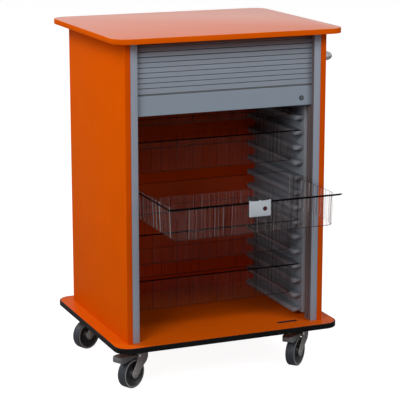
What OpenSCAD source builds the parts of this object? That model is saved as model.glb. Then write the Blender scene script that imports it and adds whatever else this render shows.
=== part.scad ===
// Bin trolley: a laminate cabinet on four swivel casters, with a roller shutter
// and five clear ribbed bins that slide on moulded ledges. The middle bin is out.
// Front is -Y, right is +X, up is +Z. All sizes are millimetres.

/* [Bins] */
// Width of a bin across its side flanges
bin_w = 600; // [560:1:640]
// Depth of a bin across its end flanges
bin_d = 396; // [360:1:430]
// Height of a bin
bin_h = 106; // [80:1:120]
// Wall and floor thickness of a bin
bin_wall = 2.4; // [2:0.1:3]
// Width of the side flange that rides on a ledge
bin_flange = 21; // [16:1:26]
// Width of the front flange
bin_front_flange = 8; // [6:1:12]
// Width of the back flange
bin_back_flange = 12; // [8:1:16]
// Thickness of the flange
flange_t = 3; // [2:0.1:4]
// Corner radius of the bin's body
bin_corner = 22; // [12:1:30]
// Spacing of the upright wall ribs
rib_pitch = 29; // [24:1:36]
// Width of a wall rib
rib_w = 3; // [2:0.5:5]
// How far a wall rib stands proud
rib_proud = 1.5; // [1:0.1:2]
// Distance from the rim down to the tops of the back wall's ribs
rib_drop = 52; // [10:1:60]
// How far the middle bin is pulled out
bin_pull = 306; // [200:1:320]

/* [Ledges] */
// Height of the lowest ledge's top above the base board
ledge_first = 29.5; // [26:0.5:40]
// Spacing of the ledges
ledge_pitch = 51.5; // [48:0.5:54]
// Number of ledges on each side
ledge_count = 17; // [17:1:18]
// Height of a ledge
ledge_h = 17; // [12:0.5:20]
// Radius of a ledge's front nose
ledge_nose = 20; // [10:1:24]
// Thickness of the moulded plate behind the ledges
plate_t = 18; // [14:1:22]
// How far the plate rises over the highest ledge
plate_head = 8.5; // [5:0.5:14]
// Thickness of the strips between the plate and the side panel
spacer_t = 5; // [4:0.5:7]
// Width of those strips
spacer_w = 30; // [20:1:36]

/* [Cabinet] */
// Thickness of the side panels
panel_t = 19; // [16:1:22]
// Thickness of the back panel
back_t = 18; // [12:1:22]
// Thickness of the top and base boards
board_t = 18; // [18:1:22]
// Corner radius of the top and base boards
board_r = 50; // [30:1:60]
// Overhang of the boards at each side
lip_side = 47; // [30:1:60]
// Overhang of the boards at the front
lip_front = 49; // [45:1:60]
// Overhang of the boards at the back
lip_back = 58; // [30:1:70]
// Thickness of the black band round the base board
band_t = 3; // [2:0.5:5]
// Distance from the panels' front edges to a closed bin
bin_setback = 70; // [70:1:80]
// Space behind a closed bin
rear_gap = 66; // [60:1:90]
// Radius of the wooden dowels
dowel_r = 4; // [3:0.5:5]
// Length of the wooden dowels
dowel_len = 28; // [24:1:30]

/* [Shutter] */
// Width of a guide track seen from the front
track_w = 24; // [22:1:28]
// Depth of a guide track
track_d = 45; // [40:1:48]
// How far the tracks lie behind the panels' front edges
track_back = 1; // [0:0.5:2]
// Depth of the groove that takes the shutter's ends
groove_in = 13; // [9:1:15]
// Thickness of the bottom rail
rail_t = 12; // [12:0.5:13]
// Height of the bottom rail
rail_h = 69.5; // [66:0.5:80]
// Wall of the hollow bottom rail
rail_wall = 2; // [1.5:0.1:2.4]
// Distance from the tracks' front faces to the rail's front face
rail_recess = 18; // [14:1:20]
// Play of the rail in its groove, on each face
rail_play = 0.8; // [0.5:0.1:1]
// Height of the lowest slat
low_slat = 19; // [16:0.5:22]
// Pitch of the slats
slat_pitch = 16.5; // [14:0.5:20]
// Thickness of the slats
slat_t = 7.4; // [6:0.1:7.6]
// Depth of the groove between two slats
slat_groove = 1.8; // [1:0.1:2.5]
// Distance from the top board down to the bottom rail's lower edge
shutter_hang = 240; // [200:1:260]
// Outer radius of the wound shutter
roll_r = 55; // [54:0.5:60]
// Clearance above the wound shutter
roll_top_gap = 4; // [3:0.5:8]
// Clearance below the wound shutter
roll_low_gap = 8; // [6:0.5:14]
// Radius of the roller tube
shaft_r = 12; // [11:0.5:13]
// Radius of the roller's end pins
shaft_pin_r = 6; // [4:0.5:7]
// Thickness of the roller brackets
bracket_t = 6; // [4:0.5:7]
// How far the roller brackets reach below the roller's axis
bracket_drop = 20; // [12:1:22]

/* [Lock] */
// Radius of the lock cylinder
lock_r = 8.5; // [7:0.5:9]
// Distance of the lock from the bin's side flange edge
lock_inset = 26.5; // [20:0.5:40]
// Height of the lock above the rail's lower edge
lock_up = 24.5; // [22:0.5:28]
// Throw radius of the cam pin
cam_throw = 9; // [7:0.5:10]
// Width of the bolt's tongue
bolt_w = 60; // [40:1:64]
// Thickness of the bolt
bolt_t = 2.4; // [2:0.1:2.6]
// Length of the keeper slot in the base board
slot_len = 70; // [68:1:80]
// Width of the keeper slot
slot_w = 7; // [6:0.5:9]
// Depth of the keeper slot
slot_deep = 12; // [8:1:14]

/* [Handle] */
// Radius of the handle's tube
handle_r = 12.5; // [10:0.5:15]
// Wall of the handle's tube
handle_wall = 1.5; // [1:0.1:2.5]
// Distance from the side panel to the grip's centre line
handle_reach = 52; // [48:1:70]
// Bend radius of the handle's centre line
handle_bend = 38; // [30:1:40]
// Distance from a handle leg to the panel's front or back edge
handle_inset = 58; // [58:1:62]
// Distance from the top board down to the handle's centre
handle_drop = 90; // [70:1:200]
// Radius of the rosettes at the handle's feet
rosette_r = 22; // [18:1:26]
// Thickness of the rosettes
rosette_t = 5; // [3:0.5:8]

/* [Casters] */
// Radius of the wheels
wheel_r = 50; // [46:1:52]
// Width of the tyres
tyre_w = 32; // [28:1:34]
// Thickness of the tyre's tread
tread_t = 6; // [5:0.5:8]
// Gap from the wheels' tops up to the brake pedals
wheel_clear = 4; // [3:0.5:8]
// Distance of the wheel's axle from the swivel axis
trail = 35; // [30:1:38]
// Inner distance between a fork's arms
fork_gap = 36; // [35:0.5:40]
// Thickness of a fork arm
arm_t = 4; // [3:0.5:5]
// Radius of a fork's crown
crown_r = 30; // [26:1:30]
// Radius of the wheel axle
axle_r = 4; // [3:0.5:5]
// Radius of the swivel's king pin
kingpin_r = 6; // [5:0.5:8]
// Length of a caster's top plate
caster_plate_l = 96; // [90:1:110]
// Width of a caster's top plate
caster_plate_w = 76; // [70:1:90]
// Distance of the swivel axes from the panels' outer faces
caster_in_x = 56; // [56:1:80]
// Distance of the front swivel axes from the panels' front edges
caster_in_front = 55; // [50:1:80]
// Distance of the rear swivel axes from the panels' back edges
caster_in_back = 48; // [45:1:80]
// Reach of a brake pedal from the swivel axis
pedal_reach = 107; // [95:1:112]
// Half width of a brake pedal
pedal_half = 20; // [14:1:24]

/* [Label] */
// Width of the label holder
label_w = 75; // [50:1:90]
// Height of the label holder
label_h = 50; // [40:1:60]
// Distance of the label's centre from the bin's centre
label_x = 7; // [-40:1:40]

/* [Hidden] */
$fn = 64;
eps = 0.3;
fit = 0.06;
side_gap = 10;
ledge_bite = bin_flange - rib_proud - 1;
bin_count = 5;
pulled_level = 3;
levels_per_bin = 3;
opening_w = bin_w + 2 * side_gap;
inner_w = opening_w + 2 * track_w;
cab_w = inner_w + 2 * panel_t;
cab_d = bin_setback + bin_d + rear_gap + back_t;
board_w = cab_w + 2 * lip_side;
board_d = cab_d + lip_front + lip_back;
board_y = (cab_d + lip_back - lip_front) / 2;
pedal_low = 2 * wheel_r + wheel_clear;
pivot_up = 4;
pivot_z = pedal_low + pivot_up;
pivot_drop = 10;
crown_low = pivot_z + pivot_drop;
crown_t = 16;
crown_top = crown_low + crown_t;
crown_gap = 9;
caster_h = crown_top + crown_gap;
base_top = caster_h + board_t;
plate_top = ledge_first + (ledge_count - 1) * ledge_pitch + plate_head;
panel_h = plate_top + roll_low_gap + 2 * roll_r + roll_top_gap;
top_z = base_top + panel_h;
plate_in = inner_w / 2 - spacer_t - plate_t;
plate_foot = 10;
ledge_in = bin_w / 2 - ledge_bite;
ledge_sweep = 0.7 * ledge_h;
screw_inset = 40;
screw_y = [screw_inset, bin_d - screw_inset];
screw_level = [1.5, 8.5, 14.5];
screw_r = 2.2;
screw_len = 31;
rail_y = track_back + rail_recess;
slat_y = rail_y + rail_t / 2;
rail_z = top_z - shutter_hang;
rail_half = opening_w / 2 + groove_in - 2;
release_z = top_z - 2 * roll_r - roll_top_gap - roll_low_gap;
bracket_half = 36;
roll_mid_r = roll_r - slat_t / 2;
roll_y = slat_y + roll_mid_r;
roll_z = top_z - roll_top_gap - roll_r;
curtain_low = rail_z + rail_h;
flat_slats = ceil((roll_z - curtain_low - low_slat) / slat_pitch);
flat_len = low_slat + flat_slats * slat_pitch;
layer = slat_t + 1.4;
slat_turn = slat_pitch / roll_mid_r * 180 / PI;
first_turn = (flat_len - roll_z + curtain_low) / roll_mid_r * 180 / PI;
wound_slats = floor((roll_mid_r - shaft_r - 0.6 - slat_t / 2) / layer * 360 / slat_turn);
lock_x = bin_w / 2 - lock_inset;
lock_z = rail_z + lock_up;
cam_rise = cam_throw * sin(45);
bolt_in = 39;
bolt_x = lock_x - bolt_in;
bolt_y = rail_y + 6.5;
handle_x = cab_w / 2 + handle_reach;
handle_z = top_z - handle_drop;
handle_y = [handle_inset, cab_d - handle_inset];
label_t = 1.2;
card_t = 0.6;
caster_x = cab_w / 2 - caster_in_x;
caster_y = [caster_in_front, cab_d - caster_in_back];
caster_turn = [[28, 40], [23, 33]];
caster_plate_t = 4;
pivot_x = 14;
pivot_r = 3;
dowel_inset = 70;
dowel_y = [dowel_inset, cab_d / 2, cab_d - dowel_inset];
front_y = min(-lip_front, bin_setback - bin_pull - label_t - card_t);
back_y = cab_d + lip_back;
right_x = max(board_w / 2, handle_x + handle_r);
centre_x = (right_x - board_w / 2) / 2;
centre_y = (front_y + back_y) / 2;
orange = [0.85, 0.33, 0.02];
grey = [0.5, 0.53, 0.57];
dark = [0.16, 0.17, 0.18];
clear = [0.8, 0.85, 0.9, 0.35];

// Moves the cabinet's own frame to the centre of the whole trolley's footprint.
module at_centre() {
    translate([-centre_x, -centre_y, 0])
        children();
}

// Draws a shape at its right-hand place, or mirrored to the left.
module on_side(side) {
    if (side > 0) children();
    else mirror([1, 0, 0]) children();
}

// A rectangle with round corners, centred.
module round_plan(w, d, r) {
    square([w - 2 * r, d], center = true);
    square([w, d - 2 * r], center = true);
    for (sx = [-1, 1], sy = [-1, 1])
        translate([sx * (w / 2 - r), sy * (d / 2 - r)])
            circle(r);
}

// Turns an outline drawn in (Y, Z) into a bar along X, centred.
module bar_along_x(length) {
    rotate([90, 0, 90])
        linear_extrude(length, center = true)
            children();
}

// Turns an outline drawn in (X, Z) into a slab along Y, centred.
module slab_along_y(width) {
    rotate([90, 0, 0])
        linear_extrude(width, center = true)
            children();
}

// Bores for the dowels in the ends of the side panels, around height z.
module dowels_at(z, r, len) {
    for (side = [-1, 1], y = dowel_y)
        translate([side * (cab_w - panel_t) / 2, y, z - len / 2])
            cylinder(r = r, h = len);
}

module top_board() {
    color(orange) at_centre()
        difference() {
            translate([0, board_y, top_z])
                linear_extrude(board_t)
                    round_plan(board_w, board_d, board_r);
            dowels_at(top_z, dowel_r + fit, dowel_len + 1);
        }
}

module base_board() {
    color(orange) at_centre()
        difference() {
            translate([0, board_y, caster_h])
                linear_extrude(board_t)
                    round_plan(board_w - 2 * band_t, board_d - 2 * band_t, board_r - band_t);
            translate([bolt_x - slot_len / 2, bolt_y - slot_w / 2, base_top - slot_deep])
                cube([slot_len, slot_w, slot_deep + 1]);
            dowels_at(base_top, dowel_r + fit, dowel_len + 1);
            caster_screws_at(2.5 + fit, 12, caster_h);
        }
}

module base_edge_band() {
    color("black") at_centre()
        translate([0, board_y, caster_h])
            linear_extrude(board_t)
                difference() {
                    round_plan(board_w, board_d, board_r);
                    round_plan(board_w - 2 * band_t, board_d - 2 * band_t, board_r - band_t);
                }
}

// A side panel; the right one has the two handle bores.
module side_panel(side) {
    color(orange) at_centre()
        difference() {
            translate([side * (cab_w - panel_t) / 2 - panel_t / 2, 0, base_top])
                cube([panel_t, cab_d, panel_h]);
            dowels_at(base_top, dowel_r + fit, dowel_len + 1);
            dowels_at(top_z, dowel_r + fit, dowel_len + 1);
            on_side(side) ledge_screws_at(screw_r + fit, screw_len + 1);
            if (side > 0)
                for (y = handle_y)
                    translate([cab_w / 2 - panel_t - 1, y, handle_z])
                        rotate([0, 90, 0])
                            cylinder(r = 4 + fit, h = panel_t + 2);
        }
}

module back_panel() {
    color(orange) at_centre()
        translate([-inner_w / 2, cab_d - back_t, base_top])
            cube([inner_w, back_t, panel_h]);
}

module panel_dowels() {
    color("burlywood") at_centre() {
        dowels_at(base_top, dowel_r, dowel_len);
        dowels_at(top_z, dowel_r, dowel_len);
    }
}

// An extruded guide track: a groove for the shutter's ends and two hollow chambers.
// Above the release height only its front part goes on, so the slats can turn back.
module guide_track(side) {
    groove_front = rail_y - rail_play;
    groove_back = rail_y + rail_t + rail_play;
    color(grey) at_centre() on_side(side)
        difference() {
            translate([opening_w / 2, track_back, base_top])
                cube([track_w, track_d, panel_h]);
            translate([opening_w / 2 - 1, groove_front, base_top - 1])
                cube([groove_in + 1, groove_back - groove_front, panel_h + 2]);
            translate([opening_w / 2 + 2, track_back + 2, base_top - 1])
                cube([track_w - 4, groove_front - track_back - 4, panel_h + 2]);
            translate([opening_w / 2 + 2, groove_back + 2, base_top - 1])
                cube([track_w - 4, track_back + track_d - groove_back - 4, panel_h + 2]);
            translate([opening_w / 2 - 1, groove_front, release_z])
                cube([track_w + 2, track_d, panel_h]);
        }
}

// The hollow bottom rail, with the lock's bore and the bolt's way out below.
module shutter_rail() {
    cavity_h = rail_h - 2 * rail_wall;
    color(grey) at_centre()
        difference() {
            translate([-rail_half, rail_y, rail_z])
                cube([2 * rail_half, rail_t, rail_h]);
            translate([-rail_half + 3, rail_y + rail_wall, rail_z + rail_wall])
                cube([2 * rail_half - 6, rail_t - 2 * rail_wall, cavity_h]);
            translate([lock_x, rail_y + rail_wall / 2, lock_z])
                rotate([90, 0, 0])
                    cylinder(r = lock_r + fit, h = rail_wall + 2, center = true);
            translate([bolt_x - bolt_w / 2 - 0.6, bolt_y - bolt_t / 2 - 0.5, rail_z - 1])
                cube([bolt_w + 1.2, bolt_t + 1, rail_wall + 2]);
        }
}

// The outline of a groove across the slats, going up, at [y, z] with the front at -Y.
function groove_up(y, z) = [[y, z - 1.1], [y + slat_groove, z], [y, z + 1.1]];

// The flat hanging slats, as one band with grooves between them.
module shutter_curtain() {
    front = slat_y - slat_t / 2;
    grooves = [for (i = [0 : flat_slats - 1], p = groove_up(front, low_slat + i * slat_pitch)) p];
    outline = concat(
        [[slat_y + slat_t / 2, flat_len - eps], [slat_y + slat_t / 2, eps], [front, eps]],
        grooves,
        [[front, flat_len - 1.4], [front + slat_groove, flat_len - eps]]
    );
    color(grey) at_centre()
        translate([0, 0, curtain_low])
            bar_along_x(2 * rail_half)
                polygon(outline);
}

// A point on the wound slats: turned from the front over the top, out from the middle.
function wound_point(turn, out) =
    let (r = roll_mid_r - layer * turn / 360)
    [roll_y - (r + out) * cos(turn), roll_z + (r + out) * sin(turn)];

// The wound slats, as one spiral band with grooves, and the key on the tube.
module shutter_coil() {
    half = 1.1 / roll_mid_r * 180 / PI;
    gap = eps / roll_mid_r * 180 / PI;
    last = first_turn + wound_slats * slat_turn;
    outer = [for (i = [1 : wound_slats - 1], k = [-1, 0, 1])
        wound_point(first_turn + i * slat_turn + k * half, slat_t / 2 - (k == 0 ? slat_groove : 0))];
    inner = [for (i = [wound_slats - 1 : -1 : 1])
        wound_point(first_turn + i * slat_turn, -slat_t / 2)];
    key_r = roll_mid_r - layer * last / 360;
    color(grey) at_centre() {
        bar_along_x(2 * rail_half)
            polygon(concat(
                [wound_point(first_turn + gap, slat_t / 2 - slat_groove)],
                [wound_point(first_turn + half, slat_t / 2)],
                outer,
                [wound_point(last, slat_t / 2), wound_point(last, -slat_t / 2)],
                inner,
                [wound_point(first_turn + gap, -slat_t / 2)]
            ));
        roll_key(shaft_r - 1, key_r, 4);
    }
}

// A bar under the inner end of the wound slats, from one radius to another.
module roll_key(from, to, wide) {
    last = first_turn + wound_slats * slat_turn;
    translate([0, roll_y, roll_z])
        rotate([180 - last, 0, 0])
            translate([-rail_half + 20, from, 0.5])
                cube([2 * rail_half - 40, to - from, wide]);
}

module roller_tube() {
    color("silver") at_centre()
        difference() {
            translate([0, roll_y, roll_z])
                rotate([0, 90, 0])
                    cylinder(r = shaft_r, h = 2 * rail_half, center = true);
            translate([0, roll_y, roll_z])
                rotate([0, 90, 0])
                    cylinder(r = shaft_r - 3, h = 2 * rail_half + 2, center = true);
            roll_key(shaft_r - 1, shaft_r + 4, 4);
        }
}

// The plugs in the tube's ends with the pins that turn in the brackets.
module roller_pins() {
    pin_end = inner_w / 2 - 1;
    color("silver") at_centre()
        for (side = [-1, 1]) on_side(side)
            translate([rail_half - 20, roll_y, roll_z])
                rotate([0, 90, 0]) {
                    cylinder(r = shaft_r - 3.02, h = 20);
                    cylinder(r = shaft_pin_r, h = pin_end - rail_half + 20);
                }
}

// Plates on the side panels that carry the roller's pins.
module roller_brackets() {
    color("silver") at_centre()
        for (side = [-1, 1]) on_side(side)
            difference() {
                translate([inner_w / 2 - bracket_t, roll_y - bracket_half, roll_z - bracket_drop])
                    cube([bracket_t, 2 * bracket_half, bracket_half + bracket_drop]);
                translate([inner_w / 2 - bracket_t - 1, roll_y, roll_z])
                    rotate([0, 90, 0])
                        cylinder(r = shaft_pin_r + fit, h = bracket_t + 2);
            }
}

// The key cylinder: its face stands just proud of the rail, its cam has a pin.
module lock_cylinder() {
    cam_y = rail_y + 3.7;
    color("silver") at_centre()
        translate([lock_x, 0, lock_z]) {
            difference() {
                translate([0, (rail_y - 1 + cam_y) / 2, 0])
                    rotate([90, 0, 0])
                        cylinder(r = lock_r, h = cam_y - rail_y + 1, center = true);
                translate([-0.8, rail_y - 2, -4])
                    cube([1.6, 3, 8]);
            }
            translate([0, cam_y + 0.5, 0])
                rotate([90, 0, 0])
                    cylinder(r = cam_throw + 3, h = 1, center = true);
            translate([-cam_rise, cam_y + 2.6, cam_rise])
                rotate([90, 0, 0])
                    cylinder(r = 2, h = 3.4, center = true);
        }
}

// The flat bolt: a wide tongue over the rail's lower slot and an arm to the cam pin.
module lock_bolt() {
    arm_z = lock_z + cam_rise;
    color("silver") at_centre()
        difference() {
            union() {
                translate([bolt_x - bolt_w / 2, bolt_y - bolt_t / 2, rail_z + 0.5])
                    cube([bolt_w, bolt_t, arm_z - rail_z - 4.5]);
                translate([bolt_x - bolt_w / 2, bolt_y - bolt_t / 2, arm_z - 4.5])
                    cube([lock_x - cam_rise + 6 - bolt_x + bolt_w / 2, bolt_t, 9.5]);
            }
            translate([lock_x - cam_throw - 3, bolt_y - bolt_t, arm_z - 2.6])
                cube([cam_throw - cam_rise + 6, 2 * bolt_t, 5.2]);
        }
}

// Screws that hold a ledge plate, on the right side.
module ledge_screws_at(r, len) {
    for (y = screw_y, level = screw_level)
        translate([plate_in, bin_setback + y, base_top + ledge_first + level * ledge_pitch])
            rotate([0, 90, 0])
                cylinder(r = r, h = len);
}

module ledge_plate(side) {
    color(grey) at_centre() on_side(side)
        difference() {
            translate([plate_in, bin_setback, base_top + plate_foot])
                cube([plate_t, bin_d, plate_top - plate_foot]);
            ledge_screws_at(screw_r + fit, screw_len + 1);
            translate([-0.01, 0, 0]) ledge_screws_at(5, 3);
        }
}

// The ledges: bars with a round nose at the front inner corner.
module ledges(side) {
    wide = plate_in - ledge_in;
    color(grey) at_centre() on_side(side)
        for (level = [0 : ledge_count - 1])
            translate([ledge_in, bin_setback, base_top + ledge_first + level * ledge_pitch - ledge_h])
                intersection() {
                    linear_extrude(ledge_h) {
                        translate([ledge_nose, 0])
                            square([wide - ledge_nose, bin_d]);
                        translate([0, ledge_nose])
                            square([ledge_nose, bin_d - ledge_nose]);
                        intersection() {
                            translate([ledge_nose, ledge_nose])
                                circle(ledge_nose);
                            square([ledge_nose + 1, ledge_nose + 1]);
                        }
                    }
                    bar_along_x(4 * wide)
                        ledge_side();
                }
}

// A ledge seen from the side: flat above, swept up below its nose.
module ledge_side() {
    translate([ledge_sweep, 0])
        square([bin_d - ledge_sweep, ledge_h]);
    translate([0, ledge_sweep])
        square([ledge_sweep + 1, ledge_h - ledge_sweep]);
    translate([ledge_sweep, ledge_sweep])
        circle(ledge_sweep);
}

module ledge_spacers() {
    color(dark) at_centre()
        for (side = [-1, 1], y = screw_y) on_side(side)
            difference() {
                translate([plate_in + plate_t, bin_setback + y - spacer_w / 2, base_top + plate_foot])
                    cube([spacer_t, spacer_w, plate_top - plate_foot]);
                ledge_screws_at(screw_r + fit, screw_len + 1);
            }
}

module ledge_screws() {
    color("silver") at_centre()
        for (side = [-1, 1]) on_side(side) {
            ledge_screws_at(screw_r, screw_len);
            ledge_screws_at(5 - fit, 2.9);
        }
}

// Upright ribs along one straight wall, drawn from its middle.
module wall_ribs(length) {
    count = floor((length - 2 * bin_corner) / 2 / rib_pitch);
    for (i = [-count : count])
        translate([i * rib_pitch - rib_w / 2, -rib_proud])
            square([rib_w, rib_proud + bin_wall / 2]);
}

// A clear bin with its rim's front edge at the origin: thin ribbed walls, a floor
// and a flange round the top that is wide at the sides.
module clear_bin() {
    body_w = bin_w - 2 * bin_flange;
    body_d = bin_d - bin_front_flange - bin_back_flange;
    body_y = bin_front_flange + body_d / 2;
    difference() {
        union() {
            translate([0, bin_d / 2, -flange_t])
                linear_extrude(flange_t)
                    round_plan(bin_w, bin_d, 6);
            translate([0, body_y, -bin_h])
                linear_extrude(bin_h)
                    round_plan(body_w, body_d, bin_corner);
            for (turn = [0, 180])
                translate([0, body_y, -bin_h + 3])
                    linear_extrude(bin_h - 3 - (turn == 0 ? 0 : rib_drop))
                        rotate(turn)
                            translate([0, -body_d / 2])
                                wall_ribs(body_w);
            for (turn = [90, 270])
                translate([0, body_y, -bin_h + 3])
                    linear_extrude(bin_h - 3)
                        rotate(turn)
                            translate([0, -body_w / 2])
                                wall_ribs(body_d);
        }
        translate([0, body_y, -bin_h + bin_wall])
            linear_extrude(bin_h)
                round_plan(body_w - 2 * bin_wall, body_d - 2 * bin_wall, bin_corner - bin_wall);
    }
}

// The height of the rim of the bin at a level, counted from the top.
function rim_z(level) =
    base_top + ledge_first + (bin_count - level + 1) * levels_per_bin * ledge_pitch
        + flange_t + eps;

module bin_at(level) {
    color(clear) at_centre()
        translate([0, bin_setback - (level == pulled_level ? bin_pull : 0), rim_z(level)])
            clear_bin();
}

module bin_1() { bin_at(1); }
module bin_2() { bin_at(2); }
module bin_3() { bin_at(3); }
module bin_4() { bin_at(4); }
module bin_5() { bin_at(5); }

// The plate that hangs on the pulled bin's front rim by two hooks.
module label_holder() {
    front = bin_setback - bin_pull;
    color("white") at_centre()
        translate([label_x, front, rim_z(pulled_level)]) {
            translate([-label_w / 2, -label_t, -label_h + 2])
                cube([label_w, label_t, label_h]);
            for (end = [-1, 1])
                translate([end * (label_w / 2 - 9) - 7, -label_t, 0.3])
                    cube([14, label_t + 6, 1.7]);
        }
}

module label_card() {
    front = bin_setback - bin_pull;
    color("white") at_centre()
        translate([label_x - label_w / 2 + 2, front - label_t - card_t, rim_z(pulled_level) - label_h + 4])
            cube([label_w - 4, card_t, label_h - 4]);
}

// The D handle's hollow tube: two legs, two bends and the grip.
module push_handle() {
    grip = handle_y[1] - handle_y[0] - 2 * handle_bend;
    leg = handle_reach - handle_bend - rosette_t;
    color("silver") at_centre()
        translate([cab_w / 2 + rosette_t, 0, handle_z]) {
            for (end = [0, 1])
                translate([0, handle_y[end], 0])
                    rotate([0, 90, 0])
                        linear_extrude(leg)
                            tube_ring();
            translate([leg, handle_y[0] + handle_bend, 0])
                rotate([0, 0, -90])
                    rotate_extrude(angle = 90)
                        translate([handle_bend, 0])
                            tube_ring();
            translate([leg, handle_y[1] - handle_bend, 0])
                rotate_extrude(angle = 90)
                    translate([handle_bend, 0])
                        tube_ring();
            translate([leg + handle_bend, handle_y[0] + handle_bend, 0])
                rotate([-90, 0, 0])
                    linear_extrude(grip)
                        tube_ring();
        }
}

module tube_ring() {
    difference() {
        circle(handle_r);
        circle(handle_r - handle_wall);
    }
}

module handle_rosettes() {
    color(grey) at_centre()
        for (y = handle_y)
            translate([cab_w / 2, y, handle_z])
                rotate([0, 90, 0])
                    difference() {
                        cylinder(r = rosette_r, h = rosette_t);
                        translate([0, 0, -1]) cylinder(r = 4 + fit, h = rosette_t + 2);
                    }
}

// Threaded plugs in the ends of the handle's tube.
module handle_inserts() {
    color("dimgray") at_centre()
        for (y = handle_y)
            translate([cab_w / 2 + rosette_t, y, handle_z])
                rotate([0, 90, 0])
                    difference() {
                        cylinder(r = handle_r - handle_wall - fit, h = 8);
                        translate([0, 0, -1]) cylinder(r = 4 + fit, h = 10);
                    }
}

module handle_screws() {
    color("silver") at_centre()
        for (y = handle_y)
            translate([cab_w / 2 - panel_t, y, handle_z])
                rotate([0, 90, 0]) {
                    cylinder(r = 4, h = panel_t + rosette_t + 7);
                    translate([0, 0, -4]) cylinder(r = 7, h = 4);
                }
}

// The four screws of each caster's top plate.
module caster_screws_at(r, len, z) {
    for (side = [-1, 1], y = caster_y, sx = [-1, 1], sy = [-1, 1])
        translate([
            side * caster_x + sx * (caster_plate_l / 2 - 10),
            y + sy * (caster_plate_w / 2 - 10),
            z
        ])
            cylinder(r = r, h = len);
}

// Top plates with the bearing boss and king pin of each swivel.
module caster_plates() {
    color("silver") at_centre()
        difference() {
            for (side = [-1, 1], y = caster_y)
                translate([side * caster_x, y, 0]) {
                    translate([-caster_plate_l / 2, -caster_plate_w / 2, caster_h - caster_plate_t])
                        cube([caster_plate_l, caster_plate_w, caster_plate_t]);
                    translate([0, 0, crown_top + eps])
                        cylinder(r = crown_r - 4, h = caster_h - caster_plate_t - crown_top);
                    translate([0, 0, crown_low + 3])
                        cylinder(r = kingpin_r, h = caster_h - caster_plate_t - crown_low);
                }
            caster_screws_at(2.5 + fit, caster_plate_t + 2, caster_h - caster_plate_t - 1);
        }
}

module caster_screws() {
    color("silver") at_centre() {
        caster_screws_at(2.5, caster_plate_t + 11, caster_h - caster_plate_t);
        caster_screws_at(5, 3, caster_h - caster_plate_t - 3);
    }
}

// Puts a caster's pieces under one corner, turned as it stands at rest. In its
// own frame the wheel trails towards +X and its axle lies along Y.
module at_caster(row, side) {
    at_centre()
        translate([side * caster_x, caster_y[row], 0])
            rotate([0, 0, 180 + caster_turn[row][side > 0 ? 1 : 0]])
                children();
}

// The skirt behind the wheel: a piece of round wall between the arms.
module fork_skirt() {
    low = wheel_r + 34;
    wide = fork_gap + 2 * arm_t;
    intersection() {
        difference() {
            cylinder(r = crown_r - 0.5, h = crown_low + 2);
            cylinder(r = crown_r - 3.5, h = caster_h);
        }
        translate([-crown_r, -wide / 2, low])
            cube([crown_r / 3, wide, crown_low + 2 - low]);
    }
}

// The outline of a fork arm: wide at the crown, round at the axle.
module arm_outline() {
    polygon([
        [-crown_r + 3, crown_top], [crown_r - 6, crown_top], [crown_r - 7, pivot_z - 4],
        [trail - 8, wheel_r + 38], [trail + 5, wheel_r + 18], [trail + 13, wheel_r + 7.5],
        [trail - 8.6, wheel_r - 12.3], [trail - 16, wheel_r - 6], [trail - 29, wheel_r + 10],
        [-8, wheel_r + 23], [-crown_r + 10, wheel_r + 32], [-crown_r + 3, wheel_r + 46]
    ]);
    translate([trail, wheel_r]) circle(15);
}

module fork(row, side) {
    color("dimgray") at_caster(row, side)
        difference() {
            union() {
                translate([0, 0, crown_low])
                    cylinder(r = crown_r, h = crown_top - crown_low);
                for (s = [-1, 1])
                    translate([0, s * (fork_gap + arm_t) / 2, 0])
                        slab_along_y(arm_t) arm_outline();
                fork_skirt();
            }
            cylinder(r = kingpin_r + fit, h = caster_h);
            translate([trail, 0, wheel_r]) rotate([90, 0, 0])
                cylinder(r = axle_r + fit, h = 2 * fork_gap, center = true);
            if (row == 0)
                translate([pivot_x, 0, pivot_z]) rotate([90, 0, 0])
                    cylinder(r = pivot_r + fit, h = 2 * fork_gap, center = true);
        }
}

// A plain bolt across the fork with a round cap at each end.
module axle(row, side) {
    across = fork_gap + 2 * arm_t;
    color("silver") at_caster(row, side)
        translate([trail, 0, wheel_r]) rotate([90, 0, 0]) {
            cylinder(r = axle_r, h = across + 2, center = true);
            for (s = [-1, 1])
                translate([0, 0, s * (across / 2 + 1.25)])
                    cylinder(r = axle_r + 3, h = 2.5, center = true);
        }
}

module hub(row, side) {
    rim_r = wheel_r - tread_t - 0.02;
    color(dark) at_caster(row, side)
        translate([trail, 0, wheel_r]) rotate([90, 0, 0])
            difference() {
                union() {
                    difference() {
                        cylinder(r = rim_r, h = tyre_w - 2, center = true);
                        cylinder(r = rim_r - 6, h = tyre_w, center = true);
                    }
                    cylinder(r = rim_r - 5, h = 10, center = true);
                    cylinder(r = 13, h = tyre_w + 1, center = true);
                }
                cylinder(r = axle_r + fit, h = 2 * tyre_w, center = true);
            }
}

// The tyre: a flat tread with round shoulders.
module tyre(row, side) {
    round = tread_t - 1;
    color("black") at_caster(row, side)
        translate([trail, 0, wheel_r]) rotate([90, 0, 0])
            rotate_extrude()
                intersection() {
                    translate([wheel_r - tread_t, -tyre_w / 2])
                        square([tread_t, tyre_w]);
                    union() {
                        translate([wheel_r - tread_t, -tyre_w / 2])
                            square([tread_t - round, tyre_w]);
                        translate([wheel_r - round - 0.01, -tyre_w / 2 + round])
                            square([round + 0.01, tyre_w - 2 * round]);
                        for (s = [-1, 1])
                            translate([wheel_r - round, s * (tyre_w / 2 - round)])
                                circle(round);
                    }
                }
}

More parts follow.
